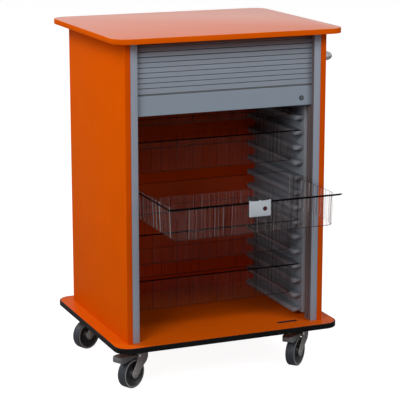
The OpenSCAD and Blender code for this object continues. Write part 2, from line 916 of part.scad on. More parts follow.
// The brake pedal: a lever between the fork's arms and a wide tongue with a round tip.
module pedal(side) {
    low = pedal_low;
    foot = low - 6;
    neck = fork_gap / 2 - 0.6;
    color("dimgray") at_caster(0, side)
        difference() {
            union() {
                translate([pivot_x - 8, -neck, low])
                    cube([26, 2 * neck, 9]);
                intersection() {
                    slab_along_y(2 * pedal_half)
                        polygon([
                            [crown_r + 1, low], [trail + 23, low], [trail + 39, foot],
                            [pedal_reach - 10, foot], [pedal_reach, foot + 5],
                            [pedal_reach, low + 14], [pedal_reach - 10, low + 18],
                            [pedal_reach - 26, low + 18], [crown_r + 1, low + 9]
                        ]);
                    linear_extrude(caster_h) {
                        translate([crown_r, -pedal_half])
                            square([pedal_reach - crown_r - 10, 2 * pedal_half]);
                        translate([crown_r, -pedal_half + 10])
                            square([pedal_reach - crown_r, 2 * pedal_half - 20]);
                        for (s = [-1, 1])
                            translate([pedal_reach - 10, s * (pedal_half - 10)])
                                circle(10);
                    }
                }
            }
            translate([pivot_x, 0, pivot_z]) rotate([90, 0, 0])
                cylinder(r = pivot_r + fit, h = 2 * fork_gap, center = true);
        }
}

module pedal_pin(side) {
    color("silver") at_caster(0, side)
        translate([pivot_x, 0, pivot_z]) rotate([90, 0, 0])
            cylinder(r = pivot_r, h = fork_gap + 2 * arm_t + 3, center = true);
}

top_board();
base_board();
base_edge_band();
side_panel(-1);  // side_panel_left
side_panel(1);  // side_panel_right
back_panel();
panel_dowels();
guide_track(-1);  // guide_track_left
guide_track(1);  // guide_track_right
shutter_rail();
shutter_curtain();
shutter_coil();
roller_tube();
roller_pins();
roller_brackets();
lock_cylinder();
lock_bolt();
ledge_plate(-1);  // ledge_plate_left
ledge_plate(1);  // ledge_plate_right
ledges(-1);  // ledges_left
ledges(1);  // ledges_right
ledge_spacers();
ledge_screws();
bin_1();
bin_2();
bin_3();
bin_4();
bin_5();
label_holder();
label_card();
push_handle();
handle_rosettes();
handle_inserts();
handle_screws();
caster_plates();
caster_screws();
fork(0, -1);  // fork_front_left
fork(0, 1);  // fork_front_right
fork(1, -1);  // fork_rear_left
fork(1, 1);  // fork_rear_right
axle(0, -1);  // axle_front_left
axle(0, 1);  // axle_front_right
axle(1, -1);  // axle_rear_left
axle(1, 1);  // axle_rear_right
hub(0, -1);  // hub_front_left
hub(0, 1);  // hub_front_right
hub(1, -1);  // hub_rear_left
hub(1, 1);  // hub_rear_right
tyre(0, -1);  // tyre_front_left
tyre(0, 1);  // tyre_front_right
tyre(1, -1);  // tyre_rear_left
tyre(1, 1);  // tyre_rear_right
pedal(-1);  // pedal_left
pedal(1);  // pedal_right
pedal_pin(-1);  // pedal_pin_left
pedal_pin(1);  // pedal_pin_right
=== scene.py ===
"""Bin trolley: its looks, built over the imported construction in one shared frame.

A laminate cabinet on four swivel casters carries a roller shutter and five clear
ribbed bins on moulded side ledges. The middle bin stands pulled out.
"""

import logging
import math
from dataclasses import dataclass, field, replace
from enum import Enum, IntEnum
from typing import Callable, Iterable, Optional, Sequence

import bmesh
import bpy
from mathutils import Matrix, Vector


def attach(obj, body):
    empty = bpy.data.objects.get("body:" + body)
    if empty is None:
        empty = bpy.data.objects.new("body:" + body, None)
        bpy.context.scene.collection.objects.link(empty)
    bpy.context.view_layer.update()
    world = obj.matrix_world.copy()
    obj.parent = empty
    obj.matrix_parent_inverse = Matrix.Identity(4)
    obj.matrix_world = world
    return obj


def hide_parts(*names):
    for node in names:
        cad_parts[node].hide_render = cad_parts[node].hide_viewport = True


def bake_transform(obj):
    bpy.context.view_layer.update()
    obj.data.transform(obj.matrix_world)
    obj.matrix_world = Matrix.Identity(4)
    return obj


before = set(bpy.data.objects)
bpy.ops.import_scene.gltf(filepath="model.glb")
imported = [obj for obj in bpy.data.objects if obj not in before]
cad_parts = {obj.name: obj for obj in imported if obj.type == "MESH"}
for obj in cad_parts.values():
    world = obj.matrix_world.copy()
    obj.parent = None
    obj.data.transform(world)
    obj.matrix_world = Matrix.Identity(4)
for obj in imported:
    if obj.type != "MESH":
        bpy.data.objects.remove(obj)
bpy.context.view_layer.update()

log = logging.getLogger("bin_trolley")

Point = tuple[float, float, float]
Flat = tuple[float, float]
Colour = tuple[float, float, float]

# How squarely a face must look along an axis to count as facing it.
SQUARE = 0.9
# Points of a mesh that lie closer than this, in millimetres, are one.
SAME_POINT = 1e-3


class Side(Enum):
    """The two sides of the trolley, seen from the front."""

    LEFT = -1
    RIGHT = 1

    @property
    def tag(self) -> str:
        """The side's word in the names of pieces."""
        return self.name.lower()


class Row(Enum):
    """The two rows of casters."""

    FRONT = "front"
    REAR = "rear"


class Axis(Enum):
    """The direction a flat outline is drawn out along."""

    X = 0
    Y = 1
    Z = 2

    @property
    def along(self) -> Vector:
        """The axis' own direction."""
        return Vector([float(i == self.value) for i in range(3)])


class Wall(Enum):
    """The four walls of a bin."""

    RIGHT = "right"
    BACK = "back"
    LEFT = "left"
    FRONT = "front"


class Pane(IntEnum):
    """The material slots of a bin's walls. Some are painted light: a bright and a soft glint for the ribs,
    and darker sheets of painted shade at the foot and on shaded flanks.
    """

    CLEAR = 0
    RIB = 1
    FOOT = 2
    DARK = 3
    REED = 4
    SOFT = 5


class Strip(IntEnum):
    """The upright strips of a bin's wall: across a rib, then across the gap after it. The rib's flanks, the
    thin line in the gap and lines in the corners carry painted glints and painted shade.
    """

    CORNER = 0
    RISE = 1
    CREST = 2
    FALL = 3
    GAP = 4
    LINE = 5
    REST = 6
    CORNER_LINE = 7


# Places


@dataclass(frozen=True)
class Plan:
    """The trolley's main sizes in millimetres, in the cabinet's own frame.

    X is 0 in the cabinet's middle, Y is 0 at the side panels' front edges and
    Z is 0 on the floor.
    """

    centre_x: float = 8.75
    centre_y: float = 185.1
    board_w: float = 800.0
    board_front: float = -49.0
    board_back: float = 608.0
    board_t: float = 18.0
    board_r: float = 50.0
    caster_h: float = 143.0
    base_top: float = 161.0
    top_z: float = 1145.0
    cab_half: float = 353.0
    inner_half: float = 334.0
    cab_d: float = 550.0
    back_t: float = 18.0
    opening_half: float = 310.0
    ledge_in: float = 281.5
    plate_in: float = 311.0
    plate_t: float = 18.0
    bin_setback: float = 70.0
    bin_levels: int = 5
    pulled_level: int = 3
    pull: float = 306.0
    ledge_first: float = 190.5
    ledge_pitch: float = 51.5
    ledges_per_bin: int = 3
    rim_lift: float = 3.3
    rail_y: float = 19.0
    rail_t: float = 12.0
    rail_z: float = 905.0
    rail_h: float = 69.5
    bolt_x: float = 234.5

    def place(self, point: Sequence[float]) -> Vector:
        """Turns a point of the cabinet's frame in mm into the shared frame in metres."""
        x, y, z = point
        return Vector(((x - self.centre_x) / 1000, (y - self.centre_y) / 1000, z / 1000))

    def bin_rim(self, level: int) -> float:
        """The height of a bin's rim plane, counted from the top bin."""
        steps = (self.bin_levels + 1 - level) * self.ledges_per_bin
        return self.ledge_first + steps * self.ledge_pitch + self.rim_lift

    def board(self, inset: float = 0.0) -> list[Flat]:
        """The outline of the top and base boards.

        Args:
            inset: how far it is drawn in.

        Returns:
            The outline's points, turning left.
        """
        low = (-self.board_w / 2 + inset, self.board_front + inset)
        high = (self.board_w / 2 - inset, self.board_back - inset)
        return rounded_plan(low, high, self.board_r - inset, 12)


PLAN = Plan()


# Shapes


def arc(centre: Flat, radius: float, start: float, end: float, steps: int) -> list[Flat]:
    """Points on an arc, with its angles in degrees."""
    turns = [math.radians(start + (end - start) * i / steps) for i in range(steps + 1)]
    return [(centre[0] + radius * math.cos(t), centre[1] + radius * math.sin(t)) for t in turns]


def rounded_plan(low: Flat, high: Flat, radius: float, steps: int = 8) -> list[Flat]:
    """The outline of a rectangle with round corners.

    Args:
        low: the corner with the smallest figures.
        high: the corner with the largest figures.
        radius: the corners' radius.
        steps: chords in each corner.

    Returns:
        The outline's points, turning left.
    """
    x0, x1 = low[0] + radius, high[0] - radius
    y0, y1 = low[1] + radius, high[1] - radius
    points: list[Flat] = []
    for centre, start in (((x1, y1), 0), ((x0, y1), 90), ((x0, y0), 180), ((x1, y0), 270)):
        points += arc(centre, radius, start, start + 90, steps)
    return points


def level_ring(outline: Sequence[Flat], z: float) -> list[Point]:
    """Lifts a flat outline to a height."""
    return [(x, y, z) for x, y in outline]


class Shape:
    """A mesh under construction, in millimetres."""

    def __init__(self, turn: Optional[Matrix] = None) -> None:
        """Starts an empty mesh; turn takes its points into the cabinet's frame."""
        self.mesh = bmesh.new()
        self.turn = turn or Matrix.Identity(4)

    def block(self, one: Sequence[float], other: Sequence[float], round_by: float = 0.0) -> "Shape":
        """Adds a box.

        Args:
            one: a corner.
            other: the corner opposite to it.
            round_by: the width of the rounding on its edges.

        Returns:
            This shape.
        """
        low, high = [min(pair) for pair in zip(one, other)], [max(pair) for pair in zip(one, other)]
        outline = [(low[0], low[1]), (high[0], low[1]), (high[0], high[1]), (low[0], high[1])]
        return self.prism(outline, Axis.Z, low[2], high[2], round_by)

    def prism(self, outline: Sequence[Flat], axis: Axis, start: float, end: float, round_by: float = 0.0,
              segments: int = 2, slot: int = 0) -> "Shape":
        """Draws an outline out along an axis.

        Args:
            outline: points in the two other axes, in X, Y, Z order.
            axis: the direction to draw along.
            start: where the solid starts on that axis.
            end: where it ends.
            round_by: the width of the rounding on its sharp edges.
            segments: faces across that rounding.
            slot: the material slot of the new faces.

        Returns:
            This shape.
        """
        low, high = ([self.mesh.verts.new((*p[:axis.value], t, *p[axis.value:])) for p in outline]
                     for t in (start, end))
        faces = [self.mesh.faces.new(low[::-1]), self.mesh.faces.new(high), *self._skin(low, high)]
        for face in faces:
            face.material_index = slot
        bmesh.ops.recalc_face_normals(self.mesh, faces=faces)
        if round_by > 0:
            self.round_edges(round_by, segments, faces)
        return self

    def _skin(self, low: Sequence[bmesh.types.BMVert],
              high: Sequence[bmesh.types.BMVert]) -> list[bmesh.types.BMFace]:
        """Joins two closed loops of equal counts with four-sided faces.

        Args:
            low: the points of the first loop.
            high: the points of the second one.

        Returns:
            The new faces.
        """
        count = len(low)
        following = [(i + 1) % count for i in range(count)]
        return [self.mesh.faces.new((low[i], low[j], high[j], high[i])) for i, j in enumerate(following)]

    def round_edges(self, width: float, segments: int, faces: Iterable[bmesh.types.BMFace],
                    above: float = 35.0) -> None:
        """Rounds the edges of some faces that are sharper than an angle.

        Args:
            width: the rounding's width.
            segments: faces across it.
            faces: the faces whose edges are looked at.
            above: the smallest angle between two faces that is rounded, in degrees.
        """
        pool = dict.fromkeys(e for f in faces for e in f.edges)
        sharp = [e for e in pool if len(e.link_faces) == 2 and e.calc_face_angle(0.0) > math.radians(above)]
        bmesh.ops.bevel(self.mesh, geom=sharp, offset=width, offset_type="OFFSET", affect="EDGES",
                        segments=segments, profile=0.5, material=-1, clamp_overlap=True)

    def revolve(self, profile: Sequence[Flat], centre: Sequence[float], axis: Axis, steps: int = 48,
                slot: int = 0, closed: bool = True) -> "Shape":
        """Turns a profile of (radius, along) points fully round an axis.

        Args:
            profile: points as radius and distance along the axis.
            centre: the point that the distances start from.
            axis: the axis' direction.
            steps: faces round it.
            slot: the material slot of the new faces.
            closed: whether the profile's last point joins its first.

        Returns:
            This shape.
        """
        away = Axis.Y.along if axis is Axis.X else Axis.X.along
        c = Vector(centre)
        verts = [self.mesh.verts.new(c + away * r + axis.along * t) for r, t in profile]
        pairs = list(zip(verts, verts[1:]))
        if closed:
            pairs.append((verts[-1], verts[0]))
        edges = [self.mesh.edges.new(pair) for pair in pairs]
        old = set(self.mesh.faces)
        bmesh.ops.spin(self.mesh, geom=verts + edges, cent=c, axis=axis.along, angle=2 * math.pi,
                       steps=steps, use_merge=True, use_duplicate=False)
        own = list(dict.fromkeys(v for f in self.mesh.faces if f not in old for v in f.verts))
        bmesh.ops.remove_doubles(self.mesh, verts=own, dist=SAME_POINT)
        new = [f for f in self.mesh.faces if f not in old]
        for face in new:
            face.material_index = slot
        bmesh.ops.recalc_face_normals(self.mesh, faces=new)
        return self

    def disc(self, centre: Sequence[float], axis: Axis, radius: float, start: float, end: float,
             round_by: float = 0.0, steps: int = 40) -> "Shape":
        """Adds a round bar.

        Args:
            centre: the point that its ends are counted from.
            axis: the axis' direction.
            radius: its radius.
            start: where it starts on the axis.
            end: where it ends.
            round_by: the width of the rounding on its rims.
            steps: faces round it.

        Returns:
            This shape.
        """
        b = min(round_by, radius * 0.9, abs(end - start) * 0.45)
        lo, hi = min(start, end), max(start, end)
        profile = [(0.0, lo), (radius, lo), (radius, hi), (0.0, hi)]
        if b > 0:
            profile[1:3] = [(radius - b, lo), (radius - b * 0.3, lo + b * 0.3), (radius, lo + b),
                            (radius, hi - b), (radius - b * 0.3, hi - b * 0.3), (radius - b, hi)]
        return self.revolve(profile, centre, axis, steps, closed=False)

    def sweep(self, path: Sequence[Vector], radius: float, sides: int) -> None:
        """Draws a round tube along a path.

        Args:
            path: the points of its middle line.
            radius: its radius.
            sides: faces round it.
        """
        turns = [2 * math.pi * k / sides for k in range(sides)]
        rings = []
        for i, p in enumerate(path):
            ahead = (path[min(i + 1, len(path) - 1)] - path[max(i - 1, 0)]).normalized()
            right = ahead.cross(Axis.Z.along).normalized()
            over = right.cross(ahead)
            rings.append([self.mesh.verts.new(p + radius * (math.cos(t) * right + math.sin(t) * over))
                          for t in turns])
        faces = [face for a, b in zip(rings, rings[1:]) for face in self._skin(a, b)]
        faces += [self.mesh.faces.new(rings[0][::-1]), self.mesh.faces.new(rings[-1])]
        bmesh.ops.recalc_face_normals(self.mesh, faces=faces)

    def rings(self, outlines: Sequence[Sequence[Point]], slot: int = 0, cap_low: bool = False,
              cap_high: bool = False) -> list[bmesh.types.BMFace]:
        """Joins closed outlines of equal counts with a skin.

        Args:
            outlines: rings of points, from the lowest up.
            slot: the material slot of the skin.
            cap_low: whether the first ring is filled.
            cap_high: whether the last ring is filled.

        Returns:
            The new faces.
        """
        loops = [[self.mesh.verts.new(p) for p in ring] for ring in outlines]
        faces = [face for a, b in zip(loops, loops[1:]) for face in self._skin(a, b)]
        if cap_low:
            faces.append(self.mesh.faces.new(loops[0][::-1]))
        if cap_high:
            faces.append(self.mesh.faces.new(loops[-1]))
        for face in faces:
            face.material_index = slot
        return faces

    def close_up(self) -> None:
        """Merges the points that meet and turns all faces outwards."""
        bmesh.ops.remove_doubles(self.mesh, verts=self.mesh.verts, dist=SAME_POINT)
        bmesh.ops.recalc_face_normals(self.mesh, faces=self.mesh.faces)

    def piece(self, name: str, looks: Sequence[bpy.types.Material], slot: str, body: Optional[str],
              replaces: Sequence[str] = (), smooth: float = 35.0) -> bpy.types.Object:
        """Turns the mesh into a piece of the trolley.

        Args:
            name: the piece's name.
            looks: its materials.
            slot: the name of a material slot; it is not used.
            body: the body it moves with, or None for a piece that is not attached to a body.
            replaces: the construction's nodes that it stands for.
            smooth: the angle in degrees over which an edge stays sharp.

        Returns:
            The new object.
        """
        for v in self.mesh.verts:
            v.co = PLAN.place(self.turn @ v.co)
        data = bpy.data.meshes.new(name)
        self.mesh.to_mesh(data)
        self.mesh.free()
        for look in looks:
            data.materials.append(look)
        data.polygons.foreach_set("use_smooth", [True] * len(data.polygons))
        data.set_sharp_from_angle(angle=math.radians(smooth))
        obj = bpy.data.objects.new(name, data)
        bpy.context.scene.collection.objects.link(obj)
        if body:
            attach(obj, body)
        if replaces:
            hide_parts(*replaces)
        log.info("piece %s", name)
        return obj

    def skin(self, node: str, looks: Sequence[bpy.types.Material], slot: str, body: str) -> bpy.types.Object:
        """Turns the mesh into the skin that stands for one node of the construction."""
        return self.piece(node + "_skin", looks, slot, body, [node])


def recolour(obj: bpy.types.Object, slot: int, chosen: Callable[[bpy.types.MeshPolygon], bool]) -> None:
    """Gives some faces of a piece another of its material slots.

    Args:
        obj: the piece.
        slot: the slot's number.
        chosen: tells whether a face is one of them.
    """
    for face in obj.data.polygons:
        if chosen(face):
            face.material_index = slot


def faces_front(face: bpy.types.MeshPolygon) -> bool:
    """Tells whether a face looks squarely to the front."""
    return face.normal.y < -SQUARE


# Shading


class Graph:
    """Short calls for building a node tree."""

    def __init__(self, tree: bpy.types.NodeTree) -> None:
        """Wraps a tree and clears it."""
        self.tree = tree
        tree.nodes.clear()

    def give(self, socket: bpy.types.NodeSocket, value: object) -> None:
        """Links or sets an input.

        Args:
            socket: the input.
            value: the socket that feeds it, or its figure, colour or vector.
        """
        if isinstance(value, bpy.types.NodeSocket):
            self.tree.links.new(value, socket)
        elif socket.type == "RGBA":
            socket.default_value = (*value, 1.0)
        else:
            socket.default_value = value

    def add(self, kind: str, inputs: Optional[dict[str | int, object]] = None,
            **settings: object) -> bpy.types.Node:
        """Adds a node.

        Args:
            kind: the node's type, without the words ShaderNode.
            inputs: what its inputs are given, by name or number.
            settings: the node's own settings.

        Returns:
            The new node.
        """
        node = self.tree.nodes.new("ShaderNode" + kind)
        for key, value in settings.items():
            setattr(node, key, value)
        for key, value in (inputs or {}).items():
            self.give(node.inputs[key], value)
        return node

    def math(self, kind: str, a: object, b: object, clamp: bool = False) -> bpy.types.NodeSocket:
        """Adds a sum of two values, each a figure or a socket."""
        return self.add("Math", {0: a, 1: b}, operation=kind, use_clamp=clamp).outputs[0]

    def mix(self, share: object, a: object, b: object) -> bpy.types.NodeSocket:
        """Mixes two colours, each a colour or a socket."""
        return self.add("Mix", {0: share, 6: a, 7: b}, data_type="RGBA").outputs[2]

    def cover(self, share: object, under: bpy.types.NodeSocket,
              over: bpy.types.NodeSocket) -> bpy.types.NodeSocket:
        """Mixes two shaders."""
        return self.add("MixShader", {0: share, 1: under, 2: over}).outputs[0]

    def noise(self, vector: bpy.types.NodeSocket, scale: object, detail: float) -> bpy.types.NodeSocket:
        """Adds a noise value at a scale."""
        return self.add("TexNoise", {"Vector": vector, "Scale": scale, "Detail": detail}).outputs["Fac"]

    def ramp(self, value: bpy.types.NodeSocket, low: float, high: float) -> bpy.types.NodeSocket:
        """Stretches the part of a value between low and high to 0 and 1."""
        return self.add("MapRange", {"Value": value, "From Min": low, "From Max": high}).outputs["Result"]

    def object_place(self, stretch: Point) -> bpy.types.NodeSocket:
        """Reads the place on the piece, stretched along its axes."""
        place = self.add("TexCoord").outputs["Object"]
        return self.add("Mapping", {"Scale": stretch, "Vector": place}).outputs["Vector"]

    def use(self, tree: bpy.types.NodeTree, **inputs: object) -> dict[str, bpy.types.NodeSocket]:
        """Places a shader group and gives its outputs by name."""
        node = self.add("Group", {key.capitalize(): value for key, value in inputs.items()}, node_tree=tree)
        return dict(node.outputs.items())


def new_material(name: str) -> tuple[bpy.types.Material, Graph, bpy.types.NodeSocket]:
    """Starts a material.

    Args:
        name: the material's name.

    Returns:
        The material, its graph and the input that takes its whole shader.
    """
    material = bpy.data.materials.new(name)
    material.use_nodes = True
    graph = Graph(material.node_tree)
    return material, graph, graph.add("OutputMaterial").inputs["Surface"]


class Effects:
    """Shader groups that several finishes share. They put out only values and normals."""

    def __init__(self) -> None:
        """Builds the groups."""
        self.wear = self._wear()
        self.grain = self._grain()
        self.dust = self._dust()

    def _open(
        self, name: str, ins: Sequence[tuple[str, str, float]], outs: Sequence[tuple[str, str]],
    ) -> tuple[bpy.types.NodeTree, Graph, bpy.types.Node, bpy.types.Node]:
        """Starts a group.

        Args:
            name: the group's name.
            ins: the name, kind and first value of each input.
            outs: the name and kind of each output.

        Returns:
            The group, its graph and the nodes of its inputs and outputs.
        """
        tree = bpy.data.node_groups.new(name, "ShaderNodeTree")
        for label, kind, value in ins:
            socket = tree.interface.new_socket(name=label, in_out="INPUT", socket_type=kind)
            if kind == "NodeSocketFloat":
                socket.default_value = value
        for label, kind in outs:
            tree.interface.new_socket(name=label, in_out="OUTPUT", socket_type=kind)
        graph = Graph(tree)
        return tree, graph, tree.nodes.new("NodeGroupInput"), tree.nodes.new("NodeGroupOutput")

    def _wear(self) -> bpy.types.NodeTree:
        """A mask of the convex edges, from the difference of a soft and a true normal."""
        tree, g, given, out = self._open(
            "EdgeWear", [("Radius", "NodeSocketFloat", 0.0015)], [("Mask", "NodeSocketFloat")])
        soft = g.add("Bevel", {"Radius": given.outputs["Radius"]}, samples=4).outputs[0]
        true = g.add("NewGeometry").outputs["Normal"]
        dot = g.add("VectorMath", {0: soft, 1: true}, operation="DOT_PRODUCT")
        g.give(out.inputs["Mask"], g.ramp(g.math("SUBTRACT", 1.0, dot.outputs["Value"]), 0.02, 0.25))
        return tree

    def _grain(self) -> bpy.types.NodeTree:
        """A fine relief: its height, and a normal made from it."""
        tree, g, given, out = self._open(
            "FineGrain",
            [("Vector", "NodeSocketVector", 0.0), ("Scale", "NodeSocketFloat", 300.0),
             ("Depth", "NodeSocketFloat", 0.1)],
            [("Height", "NodeSocketFloat"), ("Normal", "NodeSocketVector")])
        fine = g.noise(given.outputs["Vector"], given.outputs["Scale"], 4.0)
        bump = g.add("Bump", {"Distance": 0.0004, "Strength": given.outputs["Depth"], "Height": fine})
        g.give(out.inputs["Height"], fine)
        g.give(out.inputs["Normal"], bump.outputs["Normal"])
        return tree

    def _dust(self) -> bpy.types.NodeTree:
        """A faint mask of settled dust and wiping on faces that look up."""
        tree, g, given, out = self._open(
            "SettledDust", [("Vector", "NodeSocketVector", 0.0)], [("Mask", "NodeSocketFloat")])
        split = g.add("SeparateXYZ", {0: g.add("NewGeometry").outputs["Normal"]})
        cloud = g.noise(given.outputs["Vector"], 6.0, 5.0)
        up = g.ramp(split.outputs["Z"], 0.5, 1.0)
        g.give(out.inputs["Mask"], g.math("MULTIPLY", up, g.ramp(cloud, 0.35, 0.75)))
        return tree


@dataclass(frozen=True)
class Finish:
    """An opaque surface: its colour, sheen, fine relief, edge tone and dust."""

    name: str
    colour: Colour
    roughness: float = 0.4
    metal: float = 0.0
    specular: float = 0.5
    coat: float = 0.0
    coat_roughness: float = 0.1
    mottle: float = 0.06
    mottle_scale: float = 9.0
    grain_scale: float = 420.0
    grain_depth: float = 0.08
    stretch: Point = (1.0, 1.0, 1.0)
    edge_gain: float = 0.18
    edge_radius: float = 0.0012
    edge_share: float = 0.8
    dust: float = 0.03
    dust_colour: Colour = (0.6, 0.58, 0.55)

    def _lit(self, gain: float, lift: float = 0.0) -> Colour:
        """The colour made lighter by a share, or darker by a negative one."""
        return tuple(min(1.0, c * (1 + gain) + lift) for c in self.colour)

    def make(self, effects: Effects) -> bpy.types.Material:
        """Builds the material.

        Args:
            effects: the shared shader groups.

        Returns:
            The new material.
        """
        material, g, surface = new_material(self.name)
        vector = g.object_place(self.stretch)
        cloud = g.ramp(g.noise(vector, self.mottle_scale, 5.0), 0.3, 0.7)
        tone = g.mix(cloud, self._lit(-self.mottle), self._lit(self.mottle))
        wear = g.use(effects.wear, radius=self.edge_radius)["Mask"]
        pale = self._lit(self.edge_gain, self.edge_gain * 0.03)
        tone = g.mix(g.math("MULTIPLY", wear, self.edge_share), tone, pale)
        dust = g.use(effects.dust, vector=vector)["Mask"]
        tone = g.mix(g.math("MULTIPLY", dust, self.dust), tone, self.dust_colour)
        grain = g.use(effects.grain, vector=vector, scale=self.grain_scale, depth=self.grain_depth)
        spread = 0.08
        rough = g.math("ADD", self.roughness - spread / 2, g.math("MULTIPLY", grain["Height"], spread))
        shader = g.add("BsdfPrincipled", {
            "Base Color": tone, "Normal": grain["Normal"], "Roughness": rough, "Metallic": self.metal,
            "Specular IOR Level": self.specular, "Coat Weight": self.coat,
            "Coat Roughness": self.coat_roughness})
        g.give(surface, shader.outputs[0])
        return material


@dataclass(frozen=True)
class ClearFinish:
    """A clear plastic sheet: what shows through, its milky veil and its reflections."""

    name: str
    tint: Colour
    veil: float
    veil_colour: Colour = (0.75, 0.78, 0.82)
    gloss: float = 0.5
    roughness: float = 0.06
    streaks: float = 1.0
    fine: float = 90.0
    shade: float = 0.76
    # How strongly painted shade darkens the clear part at glancing angles.
    rim_dark: float = 0.0
    lines: float = 0.0
    dusk: float = 0.25
    one_sided: bool = False

    def _light_through(self, g: Graph, vector: bpy.types.NodeSocket) -> bpy.types.NodeSocket:
        """The clear part: painted shade at glancing angles, dim in scratches and where light passes.

        Args:
            g: the material's graph.
            vector: the stretched place on the piece.

        Returns:
            The shader's output.
        """
        ray = g.add("LightPath").outputs
        dim = g.math("MAXIMUM", ray["Is Shadow Ray"], ray["Is Diffuse Ray"])
        facing = g.add("LayerWeight", {"Blend": 0.5}).outputs["Facing"]
        # Painted shade at glancing angles, standing in for refraction.
        edge = g.math("MULTIPLY", g.ramp(facing, 0.74, 0.97), self.rim_dark, clamp=True)
        scratch = g.ramp(g.noise(vector, self.fine * 0.8, 2.0), 0.60, 0.68)
        edge = g.math("MAXIMUM", edge, g.math("MULTIPLY", scratch, self.lines))
        dusk = g.mix(edge, self.tint, tuple(c * self.dusk for c in self.tint))
        shaded = tuple(c * self.shade for c in self.tint)
        return g.add("BsdfTransparent", {"Color": g.mix(dim, dusk, shaded)}).outputs[0]

    def _veiled(self, g: Graph, vector: bpy.types.NodeSocket) -> bpy.types.NodeSocket:
        """The clear part under an uneven, milky veil.

        Args:
            g: the material's graph.
            vector: the stretched place on the piece.

        Returns:
            The shader's output.
        """
        lines = g.ramp(g.noise(vector, self.fine, 4.0), 0.46, 0.62)
        broad = g.ramp(g.noise(vector, 14.0, 2.0), 0.35, 0.7)
        streak = g.math("ADD", g.math("MULTIPLY", lines, 0.6), g.math("MULTIPLY", broad, 0.4))
        milk = g.cover(0.5, *(g.add(kind, {"Color": self.veil_colour}).outputs[0]
                              for kind in ("BsdfTranslucent", "BsdfDiffuse")))
        uneven = g.math("ADD", 1.0 - 0.6 * self.streaks, g.math("MULTIPLY", streak, 1.4 * self.streaks))
        share = g.math("MULTIPLY", self.veil, uneven, clamp=True)
        return g.cover(share, self._light_through(g, vector), milk)

    def make(self, effects: Effects) -> bpy.types.Material:
        """Builds the material.

        Args:
            effects: the shared shader groups.

        Returns:
            The new material.
        """
        material, g, surface = new_material(self.name)
        vector = g.object_place((1.0, 1.0, 0.04))
        grain = g.use(effects.grain, vector=vector, scale=70.0, depth=0.5)
        shine = g.add("BsdfGlossy", {"Roughness": self.roughness, "Normal": grain["Normal"]}).outputs[0]
        fresnel = g.add("Fresnel", {"IOR": 1.5}).outputs[0]
        whole = g.cover(g.math("MULTIPLY", fresnel, self.gloss, clamp=True), self._veiled(g, vector), shine)
        if self.one_sided:
            behind = g.add("BsdfTransparent", {"Color": (0.93, 0.93, 0.93)}).outputs[0]
            whole = g.cover(g.add("NewGeometry").outputs["Backfacing"], whole, behind)
        g.give(surface, whole)
        return material


